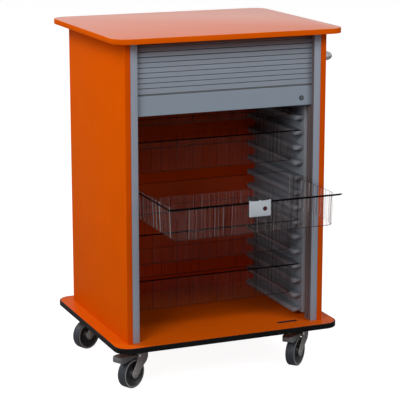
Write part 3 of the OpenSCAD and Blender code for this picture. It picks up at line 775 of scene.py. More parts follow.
@dataclass
class Palette:
    """Every material of the trolley."""

    effects: Effects = field(default_factory=Effects)

    def __post_init__(self) -> None:
        """Builds the materials."""
        self._laminates()
        self._greys()
        self._metals()
        self._wheels()
        self._plastics()

    def _make(self, finish: Finish | ClearFinish) -> bpy.types.Material:
        """Builds one material."""
        return finish.make(self.effects)

    def _laminates(self) -> None:
        """The orange boards, their edges and the black band."""
        orange = (0.70, 0.096, 0.0002)
        laminate = Finish("OrangeLaminate", orange, 0.5, specular=0.006, mottle=0.025, grain_scale=900.0,
                          grain_depth=0.05, edge_gain=0.06, dust=0.0)
        self.laminate = self._make(laminate)
        # A darker, redder copy of the laminate for the back panel's inner face: painted shade with the red of
        # light bounced inside the cabinet.
        self.inside = self._make(replace(laminate, name="BackLaminateShade", colour=(0.70, 0.062, 0.0002)))
        self.satin = self._make(replace(
            laminate, name="SatinLaminate", colour=(0.73, 0.107, 0.0008), roughness=0.45, specular=0.06,
            mottle=0.02, grain_depth=0.04, edge_gain=0.1))
        # A darker copy of the laminate for the side panels' front faces: painted shade.
        self.front_edge = self._make(replace(
            laminate, name="FrontFaceShade", colour=(0.58, 0.070, 0.0002), grain_depth=0.04, edge_gain=0.1,
            dust=0.03))
        self.gloss = self._make(Finish(
            "GlossLaminate", (0.69, 0.115, 0.015), 0.3, specular=0.7, coat=0.42, coat_roughness=0.28,
            mottle=0.02, grain_scale=900.0, grain_depth=0.04, edge_gain=0.2, dust=0.02))
        # A paler orange for the top board's rounded edge: a painted highlight.
        self.arris_highlight = self._make(Finish("ArrisHighlight", (0.80, 0.24, 0.06), 0.4, mottle=0.04, edge_gain=0.1))
        self.black = self._make(Finish("BlackEdgeBand", (0.004, 0.004, 0.004), 0.5, specular=0.08, mottle=0.2,
                                       grain_scale=250.0, edge_gain=0.8, dust=0.0))

    def _greys(self) -> None:
        """The tracks, the shutter and the ledges."""
        upright, lengthwise = (1.0, 1.0, 0.05), (0.05, 1.0, 1.0)
        self.track = self._make(Finish("GreyTrack", (0.262, 0.292, 0.352), 0.4, specular=0.25,
                                       stretch=upright, mottle=0.04, grain_scale=500.0))
        # A dark brownish grey for the tracks' inner faces: painted shade with the panels' orange in it.
        self.track_side = self._make(Finish("TrackInnerShade", (0.150, 0.115, 0.118), 0.45, specular=0.2,
                                            stretch=upright, mottle=0.08))
        self.rail = self._make(Finish("GreyRail", (0.240, 0.284, 0.338), 0.4, specular=0.25,
                                      stretch=lengthwise, mottle=0.04, grain_scale=500.0))
        self.slats = self._make(Finish("GreySlats", (0.245, 0.278, 0.327), 0.45, specular=0.2,
                                       stretch=lengthwise, mottle=0.05, grain_scale=380.0))
        # A near-black finish that stands for shade: painted shade in the bolt's slot, in the roll and on the
        # top slats' joints. Its copies below are the rail neck's painted shade and the lower slats' dark
        # joints.
        groove = Finish("BlackShade", (0.012, 0.013, 0.016), 0.6, specular=0.1, edge_gain=0.0)
        self.groove = self._make(groove)
        # A dark grey for the rail's neck under the slats: painted shade of the recess there.
        self.joint = self._make(replace(groove, name="RailNeckShade", colour=(0.115, 0.12, 0.13)))
        self.slat_gap = self._make(replace(groove, name="SlatJoint", colour=(0.045, 0.048, 0.055)))
        self.ledges = self._make(Finish("GreyLedges", (0.222, 0.242, 0.275), 0.5, specular=0.3, mottle=0.1,
                                        grain_scale=700.0, grain_depth=0.2))
        # A lighter grey for the plates' front faces: painted light.
        self.plate_edge = self._make(Finish("PlateFrontLight", (0.33, 0.35, 0.385), 0.5, specular=0.3, mottle=0.06))

    def _metals(self) -> None:
        """The screws, the lock, the handle and the hidden dowels."""
        self.steel = self._make(Finish("ZincSteel", (0.48, 0.48, 0.49), 0.3, metal=1.0, mottle=0.12,
                                       mottle_scale=40.0))
        self.chrome = self._make(Finish("Chrome", (0.75, 0.75, 0.76), 0.12, metal=1.0, mottle=0.04))
        self.lock = self._make(Finish("LockFace", (0.040, 0.048, 0.058), 0.4, metal=0.2, mottle=0.1))
        self.lock_ring = self._make(Finish("LockRing", (0.046, 0.056, 0.070), 0.4, specular=0.3, mottle=0.08))
        self.handle = self._make(Finish("SatinHandle", (0.42, 0.43, 0.45), 0.3, metal=0.85,
                                        stretch=(1.0, 0.1, 1.0), mottle=0.05))
        self.wood = self._make(Finish("DowelWood", (0.45, 0.30, 0.16), 0.6, stretch=(1.0, 1.0, 0.1),
                                      mottle=0.25, mottle_scale=60.0))

    def _wheels(self) -> None:
        """The casters' forks, pedals, hubs and tyres."""
        fork = Finish("GreyFork", (0.245, 0.24, 0.237), 0.42, mottle=0.08, grain_scale=800.0, grain_depth=0.2,
                      edge_gain=0.3)
        self.fork = self._make(fork)
        self.pedal = self._make(replace(fork, name="GreyPedal", colour=(0.125, 0.125, 0.128), roughness=0.5,
                                        specular=0.3))
        self.hub = self._make(Finish("DarkHub", (0.018, 0.019, 0.021), 0.45, specular=0.3, mottle=0.1,
                                     edge_gain=0.6))
        self.ring = self._make(Finish("WheelRing", (0.27, 0.275, 0.28), 0.4, mottle=0.08))
        self.side_ring = self._make(Finish("HubRing", (0.078, 0.081, 0.086), 0.45, specular=0.3, mottle=0.08))
        self.tyre = self._make(Finish("TyreRubber", (0.034, 0.039, 0.048), 0.5, specular=0.3, mottle=0.15,
                                      grain_scale=600.0, grain_depth=0.25, edge_gain=0.4, dust=0.05))

    def _plastics(self) -> None:
        """The label and the clear bins, whose walls have a material for each kind of strip; the bins at home
        get darker copies of some of them as painted shade.
        """
        self.card = self._make(Finish("WhiteCard", (0.44, 0.475, 0.515), 0.5, specular=0.3, mottle=0.02,
                                      edge_gain=0.05))
        self.dot = self._make(Finish("RedDot", (0.055, 0.005, 0.012), 0.4, specular=0.2, mottle=0.05))
        warm, plain = (0.74, 0.42, 0.34), (0.62, 0.64, 0.64)
        clear = ClearFinish("ClearWall", (0.975, 0.97, 0.97), 0.012, warm, gloss=0.05, rim_dark=1.0)
        reed = ClearFinish("ReededWall", (0.965, 0.955, 0.955), 0.036, plain, gloss=0.05, fine=120.0,
                           rim_dark=1.0, lines=0.45)
        # Darker copies for the bins at home in the cabinet: painted shade.
        reed_shaded = replace(reed, name="ReededWallShaded", tint=(0.95, 0.94, 0.94), veil=0.012, gloss=0.04,
                            lines=0.3)
        # Bright and soft glints for the ribs' flanks and lines: painted highlights.
        rib = ClearFinish("ClearRibGlint", (0.84, 0.81, 0.81), 0.50, (0.70, 0.66, 0.64), gloss=0.2, streaks=0.6,
                          rim_dark=1.0)
        rib_soft_glint = replace(rib, name="ClearRibSoftGlint", tint=(0.86, 0.82, 0.81), veil=0.16,
                           veil_colour=(0.70, 0.58, 0.54), gloss=0.1)
        rib_shaded = replace(rib, name="ClearRibShaded", tint=(0.84, 0.80, 0.79), veil=0.17,
                           veil_colour=(0.76, 0.60, 0.54), gloss=0.06)
        rib_faint_shaded = replace(rib, name="ClearRibFaintShaded", tint=(0.80, 0.75, 0.74), veil=0.05,
                            veil_colour=(0.70, 0.50, 0.44), gloss=0.04)
        # Dark clear copies for the walls' foot rows, shaded flanks and corner lines: painted shade.
        foot = ClearFinish("ClearFootShade", (0.45, 0.43, 0.44), 0.06, warm, gloss=0.1, streaks=0.3)
        dark = replace(foot, name="RibShadow", tint=(0.38, 0.36, 0.36), veil=0.03, rim_dark=1.0)
        panes = [self._make(finish) for finish in (clear, rib, foot, dark, reed, rib_soft_glint)]
        self.panes_pulled, self.panes_shaded = panes, list(panes)
        for pane, finish in ((Pane.RIB, rib_shaded), (Pane.REED, reed_shaded), (Pane.SOFT, rib_faint_shaded)):
            self.panes_shaded[pane] = self._make(finish)
        self.floor_clear = self._make(ClearFinish("ClearFloor", (0.965, 0.955, 0.955), 0.008, warm,
                                                  gloss=0.04, streaks=0.4))
        self.rim = self._make(ClearFinish("ClearRim", (0.96, 0.955, 0.96), 0.008, warm, gloss=0.08,
                                          streaks=0.2))
        # Near-black and dark clear copies for the rim's outer and inner edges: painted shade.
        self.rim_edge = self._make(ClearFinish("RimEdgeShade", (0.01, 0.008, 0.008), 0.03, (0.02, 0.02, 0.02),
                                               gloss=0.05, streaks=0.3, one_sided=True))
        self.rim_inner_shade = self._make(ClearFinish("RimInnerShade", (0.40, 0.38, 0.39), 0.05, (0.1, 0.1, 0.1),
                                                gloss=0.1, streaks=0.3, one_sided=True))


# Cabinet


@dataclass
class Cabinet:
    """The orange carcass: boards, panels, edge band, tracks and hidden dowels."""

    palette: Palette
    top_soft: float = 1.0
    panel_soft: float = 0.8
    back_soft: float = 0.4
    band_t: float = 3.0
    band_soft: float = 1.2
    track_y: float = 1.0
    track_w: float = 24.0
    track_d: float = 45.0
    groove_deep: float = 11.0
    groove_play: float = 0.8
    roll_room: float = 122.0

    def build(self) -> None:
        """Makes every piece of the carcass."""
        self._top()
        self._slot_shade()
        self._band()
        self._panels()
        for side in Side:
            self._track(side)
        self._dress()

    def _top(self) -> None:
        """The top board with round corners and a soft rounded edge that carries a painted highlight."""
        shape = Shape().prism(PLAN.board(), Axis.Z, PLAN.top_z, PLAN.top_z + PLAN.board_t, self.top_soft)
        obj = shape.skin("top_board", [self.palette.laminate, self.palette.arris_highlight, self.palette.gloss],
                         "orange_laminate", "cabinet")
        tilted, flat = 0.15, 0.97
        # Faces of the rounded edge take the paler orange of the painted highlight.
        recolour(obj, 1, lambda face: face.normal.z > tilted)
        recolour(obj, 2, lambda face: face.normal.z > flat)

    def _slot_shade(self) -> None:
        """A black box with a flange in the base board's slot that takes the lock's bolt: painted shade in the
        slot.
        """
        x, y = PLAN.bolt_x, 25.5
        half_x, half_y, wall, deep = 35.0, 3.5, 0.6, 12.0
        lip, lip_t, beyond = 3.6, 0.45, 2.0
        low, high = PLAN.base_top - deep, PLAN.base_top + 0.5
        # The black box and its flange paint the slot's shade.
        shape = Shape().block((x - half_x, y - half_y, low), (x + half_x, y + half_y, low + wall))
        for end in (-1, 1):
            edge_x, edge_y = x + end * half_x, y + end * half_y
            shape.block((x - half_x, edge_y, low), (x + half_x, edge_y - end * wall, high))
            shape.block((edge_x, y - half_y, low), (edge_x - end * wall, y + half_y, high))
            shape.block((x - half_x - beyond, edge_y, high - lip_t),
                        (x + half_x + beyond, edge_y + end * lip, high))
        shape.piece("slot_shade", [self.palette.groove], "black_edge", "cabinet")

    def _band(self) -> None:
        """The black band round the base board, its two long edges soft."""
        soft, low, high = self.band_soft, PLAN.caster_h, PLAN.base_top
        outer, edge, inner = (PLAN.board(inset) for inset in (0.0, soft, self.band_t))
        shape = Shape()
        shape.rings([level_ring(outline, z) for outline, z in (
            (inner, low), (edge, low), (outer, low + soft), (outer, high - soft), (edge, high),
            (inner, high), (inner, low))])
        shape.close_up()
        shape.piece("base_band_skin", [self.palette.black], "black_edge", "cabinet", ["base_edge_band"])

    def _panels(self) -> None:
        """The side panels and the back panel, with soft front edges; the side panels' front faces and the
        back panel's inner face carry painted shade.
        """
        for side in Side:
            panel = Shape().block((side.value * PLAN.cab_half, 0, PLAN.base_top),
                                  (side.value * PLAN.inner_half, PLAN.cab_d, PLAN.top_z), self.panel_soft)
            obj = panel.skin("side_panel_" + side.tag, [self.palette.laminate, self.palette.front_edge],
                             "orange_laminate", "cabinet")
            # Faces looking to the front take the darker laminate: painted shade.
            recolour(obj, 1, faces_front)
        back = Shape().block((-PLAN.inner_half, PLAN.cab_d - PLAN.back_t, PLAN.base_top),
                             (PLAN.inner_half, PLAN.cab_d, PLAN.top_z), self.back_soft)
        obj = back.skin("back_panel", [self.palette.laminate, self.palette.inside], "orange_laminate",
                        "cabinet")
        # The inner face takes the darker, redder laminate: painted shade.
        recolour(obj, 1, faces_front)

    def _track(self, side: Side) -> None:
        """A guide track: an extruded profile with a groove; its back ends under the roll. Its inner faces and
        the front faces behind the groove carry painted shade.

        Args:
            side: the track's side.
        """
        s = side.value
        front, back = self.track_y, self.track_y + self.track_d
        near, far = PLAN.rail_y - self.groove_play, PLAN.rail_y + PLAN.rail_t + self.groove_play
        x0, x1 = PLAN.opening_half, PLAN.opening_half + self.track_w
        bottom = x1 - self.groove_deep
        release = PLAN.top_z - self.roll_room
        shape = Shape()
        for low_x, high_x, low_y, high_y, top, soft in (
            (x0, x1, front, near, PLAN.top_z, 1.2), (bottom, x1, near - 0.1, far + 0.1, release, 0.0),
            (x0, x1, far, back, release, 0.8), (x0 - 0.01, x0 + 1, front + 4, near - 3, PLAN.top_z, 0.0),
        ):
            shape.block((s * low_x, low_y, PLAN.base_top), (s * high_x, high_y, top), soft)
        obj = shape.skin("guide_track_" + side.tag, [self.palette.track, self.palette.track_side],
                         "grey_aluminium", "cabinet")
        behind = PLAN.place((0, near, 0)).y
        # The inner faces, and the front faces behind the groove, take the painted shade.
        recolour(obj, 1, lambda face: (face.normal.x * s < -SQUARE
                                       or faces_front(face) and face.center.y > behind))

    def _dress(self) -> None:
        """Gives the construction's own small pieces their finish."""
        for look, names in (
            (self.palette.satin, ("base_board",)), (self.palette.wood, ("panel_dowels",)),
            (self.palette.ledges, ("ledge_spacers",)),
            (self.palette.steel, ("roller_brackets", "roller_tube", "roller_pins", "ledge_screws",
                                  "handle_inserts", "handle_screws", "caster_plates", "caster_screws",
                                  "lock_bolt")),
        ):
            for name in names:
                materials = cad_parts[name].data.materials
                materials.clear()
                materials.append(look)


# Shutter


@dataclass
class Shutter:
    """The roller shutter: bottom rail, lock, roll and the hanging slats."""

    palette: Palette
    half: float = 321.0
    slats: int = 7
    leaves: int = 3
    low_slat: float = 19.0
    pitch: float = 16.5
    thick: float = 7.4
    drop: float = 240.0
    leaf_back: float = 2.2
    wound: int = 77
    roll_r: float = 51.3
    roll_z: float = 1086.0
    layer: float = 8.8
    slot_half: float = 30.6
    lock_x: float = 273.5
    lock_up: float = 24.5

    def build(self) -> None:
        """Makes the rail, the slats, the roll and the lock."""
        self._rail()
        self._slats()
        self._coil()
        self._lock()

    def _rail(self) -> None:
        """The bottom rail: a hollow bar with soft edges, a neck above in a dark grey of painted shade, and
        the bolt's slot below.
        """
        y0, y1 = PLAN.rail_y, PLAN.rail_y + PLAN.rail_t
        z0, z1 = PLAN.rail_z, PLAN.rail_z + PLAN.rail_h
        near, far, shoulder = y0 + 4.4, y0 + 8.6, y0 + 3.6
        neck, wall, cap = z1 - 5.0, 2.5, 3.0
        shape = Shape()
        for slot, outline in (
            (0, [(y0 + 1.0, z0), (near, z0), (near, neck), (y0 + 0.8, neck), (y0, neck - 0.9),
                 (y0, z0 + 1.1)]),
            (0, [(far, z0), (y1 - 1.5, z0), (y1, z0 + 1.5), (y1, neck), (far, neck)]),
            # The neck takes the dark grey of painted shade.
            (1, [(shoulder, neck), (y1, neck), (y1, z1), (shoulder, z1)]),
        ):
            shape.prism(outline, Axis.X, -self.half, self.half, slot=slot)
        for start, end, low, high in (
            (-self.half, self.half, neck - wall, neck),
            (-self.half, PLAN.bolt_x - self.slot_half, z0, z0 + wall),
            (PLAN.bolt_x + self.slot_half, self.half, z0, z0 + wall),
            (-self.half, cap - self.half, z0 + wall, neck - wall),
            (self.half - cap, self.half, z0 + wall, neck - wall),
        ):
            shape.block((start, near, low), (end, far, high))
        shape.piece("rail_skin", [self.palette.rail, self.palette.joint], "grey_aluminium", "shutter",
                    ["shutter_rail"])

    def _wound_radius(self, turn: float) -> float:
        """The radius of the wound band's middle at a turn in radians."""
        return self.roll_r - self.layer * turn / (2 * math.pi)

    def _wound(self, turn: float, out: float) -> Flat:
        """A point of the wound band.

        Args:
            turn: its turn in radians.
            out: its distance out of the band's middle.

        Returns:
            The point's depth and height.
        """
        r = self._wound_radius(turn) + out
        axis_y = PLAN.rail_y + PLAN.rail_t / 2 + self.roll_r
        return (axis_y - r * math.cos(turn), self.roll_z + r * math.sin(turn))

    def _coil(self) -> None:
        """The wound slats: flat bars on a black spiral band, open at the joints; the band is painted shade
        between the turns.
        """
        first, step = 6.5 / self.roll_r, self.pitch / self.roll_r
        face, chamfer, hidden, short = self.thick / 2, 0.9, -0.5, 0.4
        shape = Shape()
        for i in range(self.wound):
            a, b = first + i * step, first + (i + 1) * step
            gap = 1.25 / self._wound_radius(a)
            outline = [self._wound(turn, out) for turn, out in (
                (a + gap * 1.8, face), (b - gap * 1.8, face), (b - gap, face - chamfer),
                (b - gap, hidden), (a + gap, hidden), (a + gap, face - chamfer))]
            shape.prism(outline, Axis.X, -self.half, self.half)
        # The black band behind the wound slats, seen through their joints, is painted shade.
        turns = [first + i * step / 2 for i in range(2 * self.wound + 1)]
        band = [self._wound(t, 0.2) for t in turns] + [self._wound(t, -face) for t in reversed(turns)]
        shape.prism(band, Axis.X, -self.half + short, self.half - short, slot=1)
        shape.piece("coil_skin", [self.palette.slats, self.palette.groove], "grey_slats", "roller",
                    ["shutter_coil"])

    def _leaf(self, slat: int, leaf: int, low: float, high: float) -> bpy.types.Object:
        """One leaf of a hanging slat, its front leaf with darker edges: dark joints on the lower slats and
        black painted shadow on those of the top slats.

        Args:
            slat: the slat's number, from the rail up.
            leaf: the leaf's number, from the front back.
            low: its lower edge.
            high: its upper edge.

        Returns:
            The new object.
        """
        y = PLAN.rail_y + PLAN.rail_t / 2 - self.thick / 2 + leaf * self.leaf_back + slat * 0.06
        cut = 0.0 if leaf == self.leaves - 1 else 0.55
        chamfer, deep, shoulder, under_roll = 0.5, 1.8, 0.6, 4
        half = self.half - 0.1 * leaf
        outline = [(y + deep, low + cut), (y + deep, high - cut), (y + shoulder, high - cut),
                   (y, high - cut - chamfer), (y, low + cut + chamfer), (y + shoulder, low + cut)]
        # The top slats take black painted shadow in their joints, the lower ones a dark grey.
        joint = self.palette.groove if slat > under_roll else self.palette.slat_gap
        obj = Shape().prism(outline, Axis.X, -half, half).piece(
            "slat_%d_%d" % (slat, leaf), [self.palette.slats, joint], "grey_slats", None, smooth=50.0)
        if leaf == 0:
            recolour(obj, 1, lambda face: abs(face.normal.z) > 0.4)
        return obj

    def _slats(self) -> None:
        """The hanging slats, each a stack of leaves."""
        base = PLAN.rail_z + PLAN.rail_h
        first = None
        for slat in range(self.slats):
            high = base + self.low_slat + slat * self.pitch
            for leaf in range(self.leaves):
                low = high - self.pitch if slat or leaf else base
                obj = self._leaf(slat, leaf, low, high)
                self._hang(obj)
                first = first or obj
        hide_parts("shutter_curtain")

    def _hang(self, obj: bpy.types.Object) -> None:
        """Bakes a piece's place into its mesh.

        Args:
            obj: the piece.
        """
        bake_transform(obj)

    def _lock(self) -> None:
        """The key cylinder: a collar, a domed face, a slit and the cam with its pin."""
        centre = (self.lock_x, PLAN.rail_y, PLAN.rail_z + self.lock_up)
        x, y, z = centre
        deep, cam, pin = 3.7, 1.0, 6.36
        shape = Shape()
        shape.revolve([(5.6, -1.0), (8.0, -1.0), (8.5, -0.4), (8.5, deep), (5.6, deep)], centre, Axis.Y, 40)
        shape.revolve([(0.0, -0.7), (4.9, -0.6), (5.3, -0.2), (5.3, deep), (0.0, deep)], centre, Axis.Y, 32,
                      slot=1, closed=False)
        shape.disc(centre, Axis.Y, 12.0, deep, deep + cam)
        shape.disc((x - pin, y, z + pin), Axis.Y, 2.0, 4.6, 8.0)
        shape.piece("lock_skin", [self.palette.lock_ring, self.palette.lock], "chrome_lock", "lock",
                    ["lock_cylinder"])
        tilt = Matrix.Rotation(math.radians(40), 4, "Y")
        slit = Shape(Matrix.Translation((x, y - 0.55, z)) @ tilt)
        slit.block((-0.9, -0.35, -3.8), (0.9, 0.2, 3.8), 0.1)
        slit.piece("lock_slit", [self.palette.fork], "chrome_lock", "lock")


# Ledges


@dataclass
class LedgeWall:
    """One moulded side wall: a plate with a ladder of ledges that melt into it."""

    palette: Palette
    side: Side
    count: int = 17
    depth: float = 396.0
    height: float = 17.0
    nose: float = 18.0
    tip: float = 5.0
    heel: float = 4.0

    def build(self) -> None:
        """Makes the wall's plate, whose front faces carry painted light, and its ledges."""
        s, y0 = self.side.value, PLAN.bin_setback
        tops = [PLAN.ledge_first + level * PLAN.ledge_pitch for level in range(self.count)]
        foot, above, front_tilt = 10.0, 8.5, 0.6
        plate = Shape().block(
            (s * PLAN.plate_in, y0, PLAN.base_top + foot),
            (s * (PLAN.plate_in + PLAN.plate_t), y0 + self.depth, tops[-1] + above), 2.0)
        obj = plate.skin("ledge_plate_" + self.side.tag, [self.palette.ledges, self.palette.plate_edge],
                         "grey_ledges", "cabinet")
        # The front faces take the lighter grey: painted light.
        recolour(obj, 1, lambda face: face.normal.y < -front_tilt)
        ledges = Shape()
        for top in tops:
            self._ledge(ledges, top)
        ledges.skin("ledges_" + self.side.tag, [self.palette.ledges], "grey_ledges", "cabinet")

    def _ledge(self, shape: Shape, top: float) -> None:
        """One ledge: flat above, its nose round in plan and swept up from below.

        Args:
            shape: the mesh that the ledge is added to.
            top: the height of its upper side.
        """
        x0, front, back = PLAN.ledge_in, PLAN.bin_setback, PLAN.bin_setback + self.depth
        stations = 7
        sections = []
        for i in range(stations + 1):
            turn = i / stations * math.pi / 2
            grown = math.sin(turn)
            sections.append(self._section(
                x0 + self.nose * (1 - grown), front + self.nose * (1 - math.cos(turn)),
                top - self.tip - (self.height - self.tip) * grown, top))
        sections.append(self._section(x0, back - self.heel, top - self.height, top))
        sections.append(self._section(x0 + self.heel, back, top - self.height + 3, top))
        faces = shape.rings(sections, cap_low=True, cap_high=True)
        bmesh.ops.recalc_face_normals(shape.mesh, faces=faces)

    def _section(self, x0: float, y: float, low: float, top: float) -> list[Point]:
        """A ledge's section at one depth, its inner edge round.

        Args:
            x0: how far from the middle its inner edge lies.
            y: the depth.
            low: its lower side.
            top: its upper side.

        Returns:
            The section's points.
        """
        r = min(3.5, (top - low) / 2 - 0.2)
        root = PLAN.plate_in + 0.5
        over, under = arc((x0 + r, top - r), r, 90, 180, 3), arc((x0 + r, low + r), r, 180, 270, 3)
        return [(self.side.value * x, y, z) for x, z in [(root, top), *over, *under, (root, low)]]


# Bins


@dataclass
class Bin:
    """A clear bin: ribbed walls with a slight draft, a floor and a flat rim."""

    palette: Palette
    level: int
    width: float = 600.0
    depth: float = 396.0
    height: float = 106.0
    flange: float = 21.0
    flange_front: float = 8.0
    flange_back: float = 12.0
    rim_t: float = 3.6
    draft: float = 4.0
    corner: float = 22.0
    rib_pitch: float = 29.0
    rib_wide: float = 6.4
    rib_out: float = 1.4
    plain_top: float = 52.0

    @property
    def pulled(self) -> bool:
        """Whether the bin stands pulled out."""
        return self.level == PLAN.pulled_level

    @property
    def front(self) -> float:
        """Where the rim's front edge lies."""
        return PLAN.bin_setback - (PLAN.pull if self.pulled else 0.0)

    def build(self) -> None:
        """Makes the walls, the floor and the rim."""
        self._walls()
        self._floor()
        self._rim()

    def _piece(self, shape: Shape, part: str, looks: Sequence[bpy.types.Material], smooth: float = 35.0,
               replaces: Sequence[str] = ()) -> None:
        """Turns a mesh into one of the bin's pieces.

        Args:
            shape: the mesh.
            part: the last word of the piece's name.
            looks: its materials.
            smooth: the angle in degrees over which an edge stays sharp.
            replaces: the construction's nodes that it stands for.
        """
        shape.piece("bin_%d_%s" % (self.level, part), looks, "clear_plastic", "tray_%d" % self.level,
                    replaces, smooth)

    def _room(self, inset: float) -> tuple[float, float, float]:
        """Half the width of the walls and their front and back, drawn in by an inset."""
        return (self.width / 2 - self.flange - inset, self.front + self.flange_front + inset,
                self.front + self.depth - self.flange_back - inset)

    def _round_room(self, inset: float, radius: float) -> list[Flat]:
        """The walls' outline without ribs, drawn in by an inset."""
        x1, y0, y1 = self._room(inset)
        return rounded_plan((-x1, y0), (x1, y1), radius)

    def _walls(self) -> None:
        """The walls, whose strips have slots of their own."""
        z = PLAN.bin_rim(self.level)
        foot, plain = z - self.height, z - self.plain_top
        rings = []
        for height, tuck, ribbed, back_ribbed in (
            (foot + 0.4, 2.6, False, False), (foot + 2.4, 0.6, False, False), (foot + 5.0, 0.0, True, True),
            (plain - 2.8, 0.0, True, True), (plain - 1.4, 0.0, True, False), (z - 3.2, 0.0, True, False),
        ):
            inset = self.draft * (z - height) / self.height + tuck
            outline, columns = self._outline(inset, ribbed, back_ribbed)
            rings.append(level_ring(outline, height))
        shape = Shape()
        for i, face in enumerate(shape.rings(rings)):
            row, column = divmod(i, len(columns))
            face.material_index = self._pane(row, *columns[column])
        # Bins at home take the darker copies: painted shade.
        panes = self.palette.panes_pulled if self.pulled else self.palette.panes_shaded
        self._piece(shape, "walls", panes, 25.0, ["bin_%d" % self.level])

    def _pane(self, row: int, wall: Wall, strip: Strip, rank: int) -> Pane:
        """Chooses the look of a wall's face, with painted glints and painted shade on the ribs' flanks and
        lines.

        Args:
            row: the ring of faces, counted from the foot.
            wall: the wall that the face is in.
            strip: the upright strip that it is in.
            rank: the rib's number along its wall, which makes the ribs' painted glints and painted shade a
                little uneven.

        Returns:
            The face's material slot.
        """
        uneven = (rank * rank + 3 * rank) % 5
        # The foot rows are dark with painted shade, save the pulled bin's right wall.
        if row < 2:
            return Pane.REED if self.pulled and wall is Wall.RIGHT else Pane.FOOT
        # Corner lines take painted shade.
        if strip is Strip.CORNER_LINE:
            return Pane.DARK
        if row > 2 and wall is Wall.BACK:
            return Pane.SOFT if row == 3 else Pane.CLEAR
        # Flanks and thin lines take a painted glint or painted shade.
        if strip is Strip.RISE:
            return Pane.DARK if uneven < 3 else Pane.SOFT
        if strip is Strip.FALL:
            return (Pane.RIB, Pane.SOFT, Pane.RIB, Pane.DARK, Pane.RIB)[uneven]
        if strip is Strip.LINE:
            return (Pane.SOFT, Pane.DARK, Pane.RIB, Pane.SOFT, Pane.DARK)[uneven]
        return Pane.REED

    def _outline(self, inset: float, ribbed: bool,
                 back_ribbed: bool) -> tuple[list[Flat], list[tuple[Wall, Strip, int]]]:
        """The walls' outline at one height.

        Args:
            inset: how far the outline lies inside the one at the rim.
            ribbed: whether the front and side walls show their ribs.
            back_ribbed: whether the back wall shows its own.

        Returns:
            The outline's points, and the wall, strip and rib that each of them begins.
        """
        x1, y0, y1 = self._room(inset)
        r = self.corner - inset * 0.5
        edge = 6.0
        steps = ((-1.0, 0), (-0.5, 1), (0.5, 1), (1.0, 0), (4.3, 0), (4.8, 0))
        out: list[Flat] = []
        columns: list[tuple[Wall, Strip, int]] = []
        for quarter, (wall, start, end, normal) in enumerate((
            (Wall.RIGHT, (x1, y0 + r), (x1, y1 - r), (1, 0)),
            (Wall.BACK, (x1 - r, y1), (-x1 + r, y1), (0, 1)),
            (Wall.LEFT, (-x1, y1 - r), (-x1, y0 + r), (-1, 0)),
            (Wall.FRONT, (-x1 + r, y0), (x1 - r, y0), (0, -1)),
        )):
            along = 1 if normal[0] else 0
            middle = (start[along] + end[along]) / 2
            sign = 1 if end[along] > start[along] else -1
            count = int((abs(end[along] - start[along]) / 2 - edge) // self.rib_pitch)
            shown = back_ribbed if wall is Wall.BACK else ribbed
            out.append(start)
            columns.append((wall, Strip.CORNER, 0))
            for rank in range(-count, count + 1):
                for strip, (step, push) in enumerate(steps if rank < count else steps[:4], Strip.RISE):
                    lift = self.rib_out * push if shown else 0.0
                    point = [start[0] + normal[0] * lift, start[1] + normal[1] * lift]
                    point[along] = middle + sign * rank * self.rib_pitch + sign * step * self.rib_wide / 2
                    out.append((point[0], point[1]))
                    columns.append((wall, Strip(strip), rank))
            centre = (end[0] - normal[0] * r, end[1] - normal[1] * r)
            bend = [end, *arc(centre, r, 90 * quarter, 90 * (quarter + 1), 8)[1:-1]]
            # On the pulled bin's front corners three strips become painted shade lines.
            lined = (1, 4, 5) if self.pulled and wall is Wall.FRONT else ()
            out += bend
            columns += [(wall, Strip.CORNER_LINE if i in lined else Strip.CORNER, 0)
                        for i in range(len(bend))]
        return out, columns

    def _floor(self) -> None:
        """The floor sheet, with a shallow raised frame."""
        low = PLAN.bin_rim(self.level) - self.height + 0.3
        edge, raised = self.draft + 2.8, 1.2
        shape = Shape()
        faces = shape.rings([
            level_ring(self._round_room(edge + step, max(4.0, self.corner - 3 - step)), low + lift)
            for step, lift in ((0, 0.0), (14, 0.0), (18, raised), (60, raised))], cap_high=True)
        bmesh.ops.recalc_face_normals(shape.mesh, faces=faces)
        self._piece(shape, "floor", [self.palette.floor_clear])

    def _rim(self) -> None:
        """The flat rim: a ring whose outer and inner edges are dark with painted shade."""
        z, x1 = PLAN.bin_rim(self.level), self.width / 2
        y0, y1, low = self.front, self.front + self.depth, z - self.rim_t
        slope, edge, lap = 2.8, 1.2, 2.2
        outer = rounded_plan((-x1, y0), (x1, y1), 6.0)
        brow = rounded_plan((-x1 + slope, y0 + slope), (x1 - slope, y1 - slope), 6.0 - slope)
        inner = self._round_room(edge, self.corner - edge)
        shape = Shape()
        for slot, steps in enumerate((((brow, z), (inner, z)), ((outer, low), (outer, z - 2.4), (brow, z)),
                                      ((inner, z), (inner, z - lap)))):
            shape.rings([level_ring(outline, height) for outline, height in steps], slot)
        shape.close_up()
        shape.mesh.faces.ensure_lookup_table()
        if shape.mesh.faces[0].normal.z < 0:
            bmesh.ops.reverse_faces(shape.mesh, faces=shape.mesh.faces)
        # A dark strip under the front of the pulled bin's rim: painted shade.
        if self.pulled:
            x, y = x1 - 8, y0 + 1.6
            shape.prism([(-x, y0), (x, y0), (x, y), (-x, y)], Axis.Z, z - 5.4, low + 0.1, slot=1)
        self._piece(shape, "rim", [self.palette.rim, self.palette.rim_edge, self.palette.rim_inner_shade])


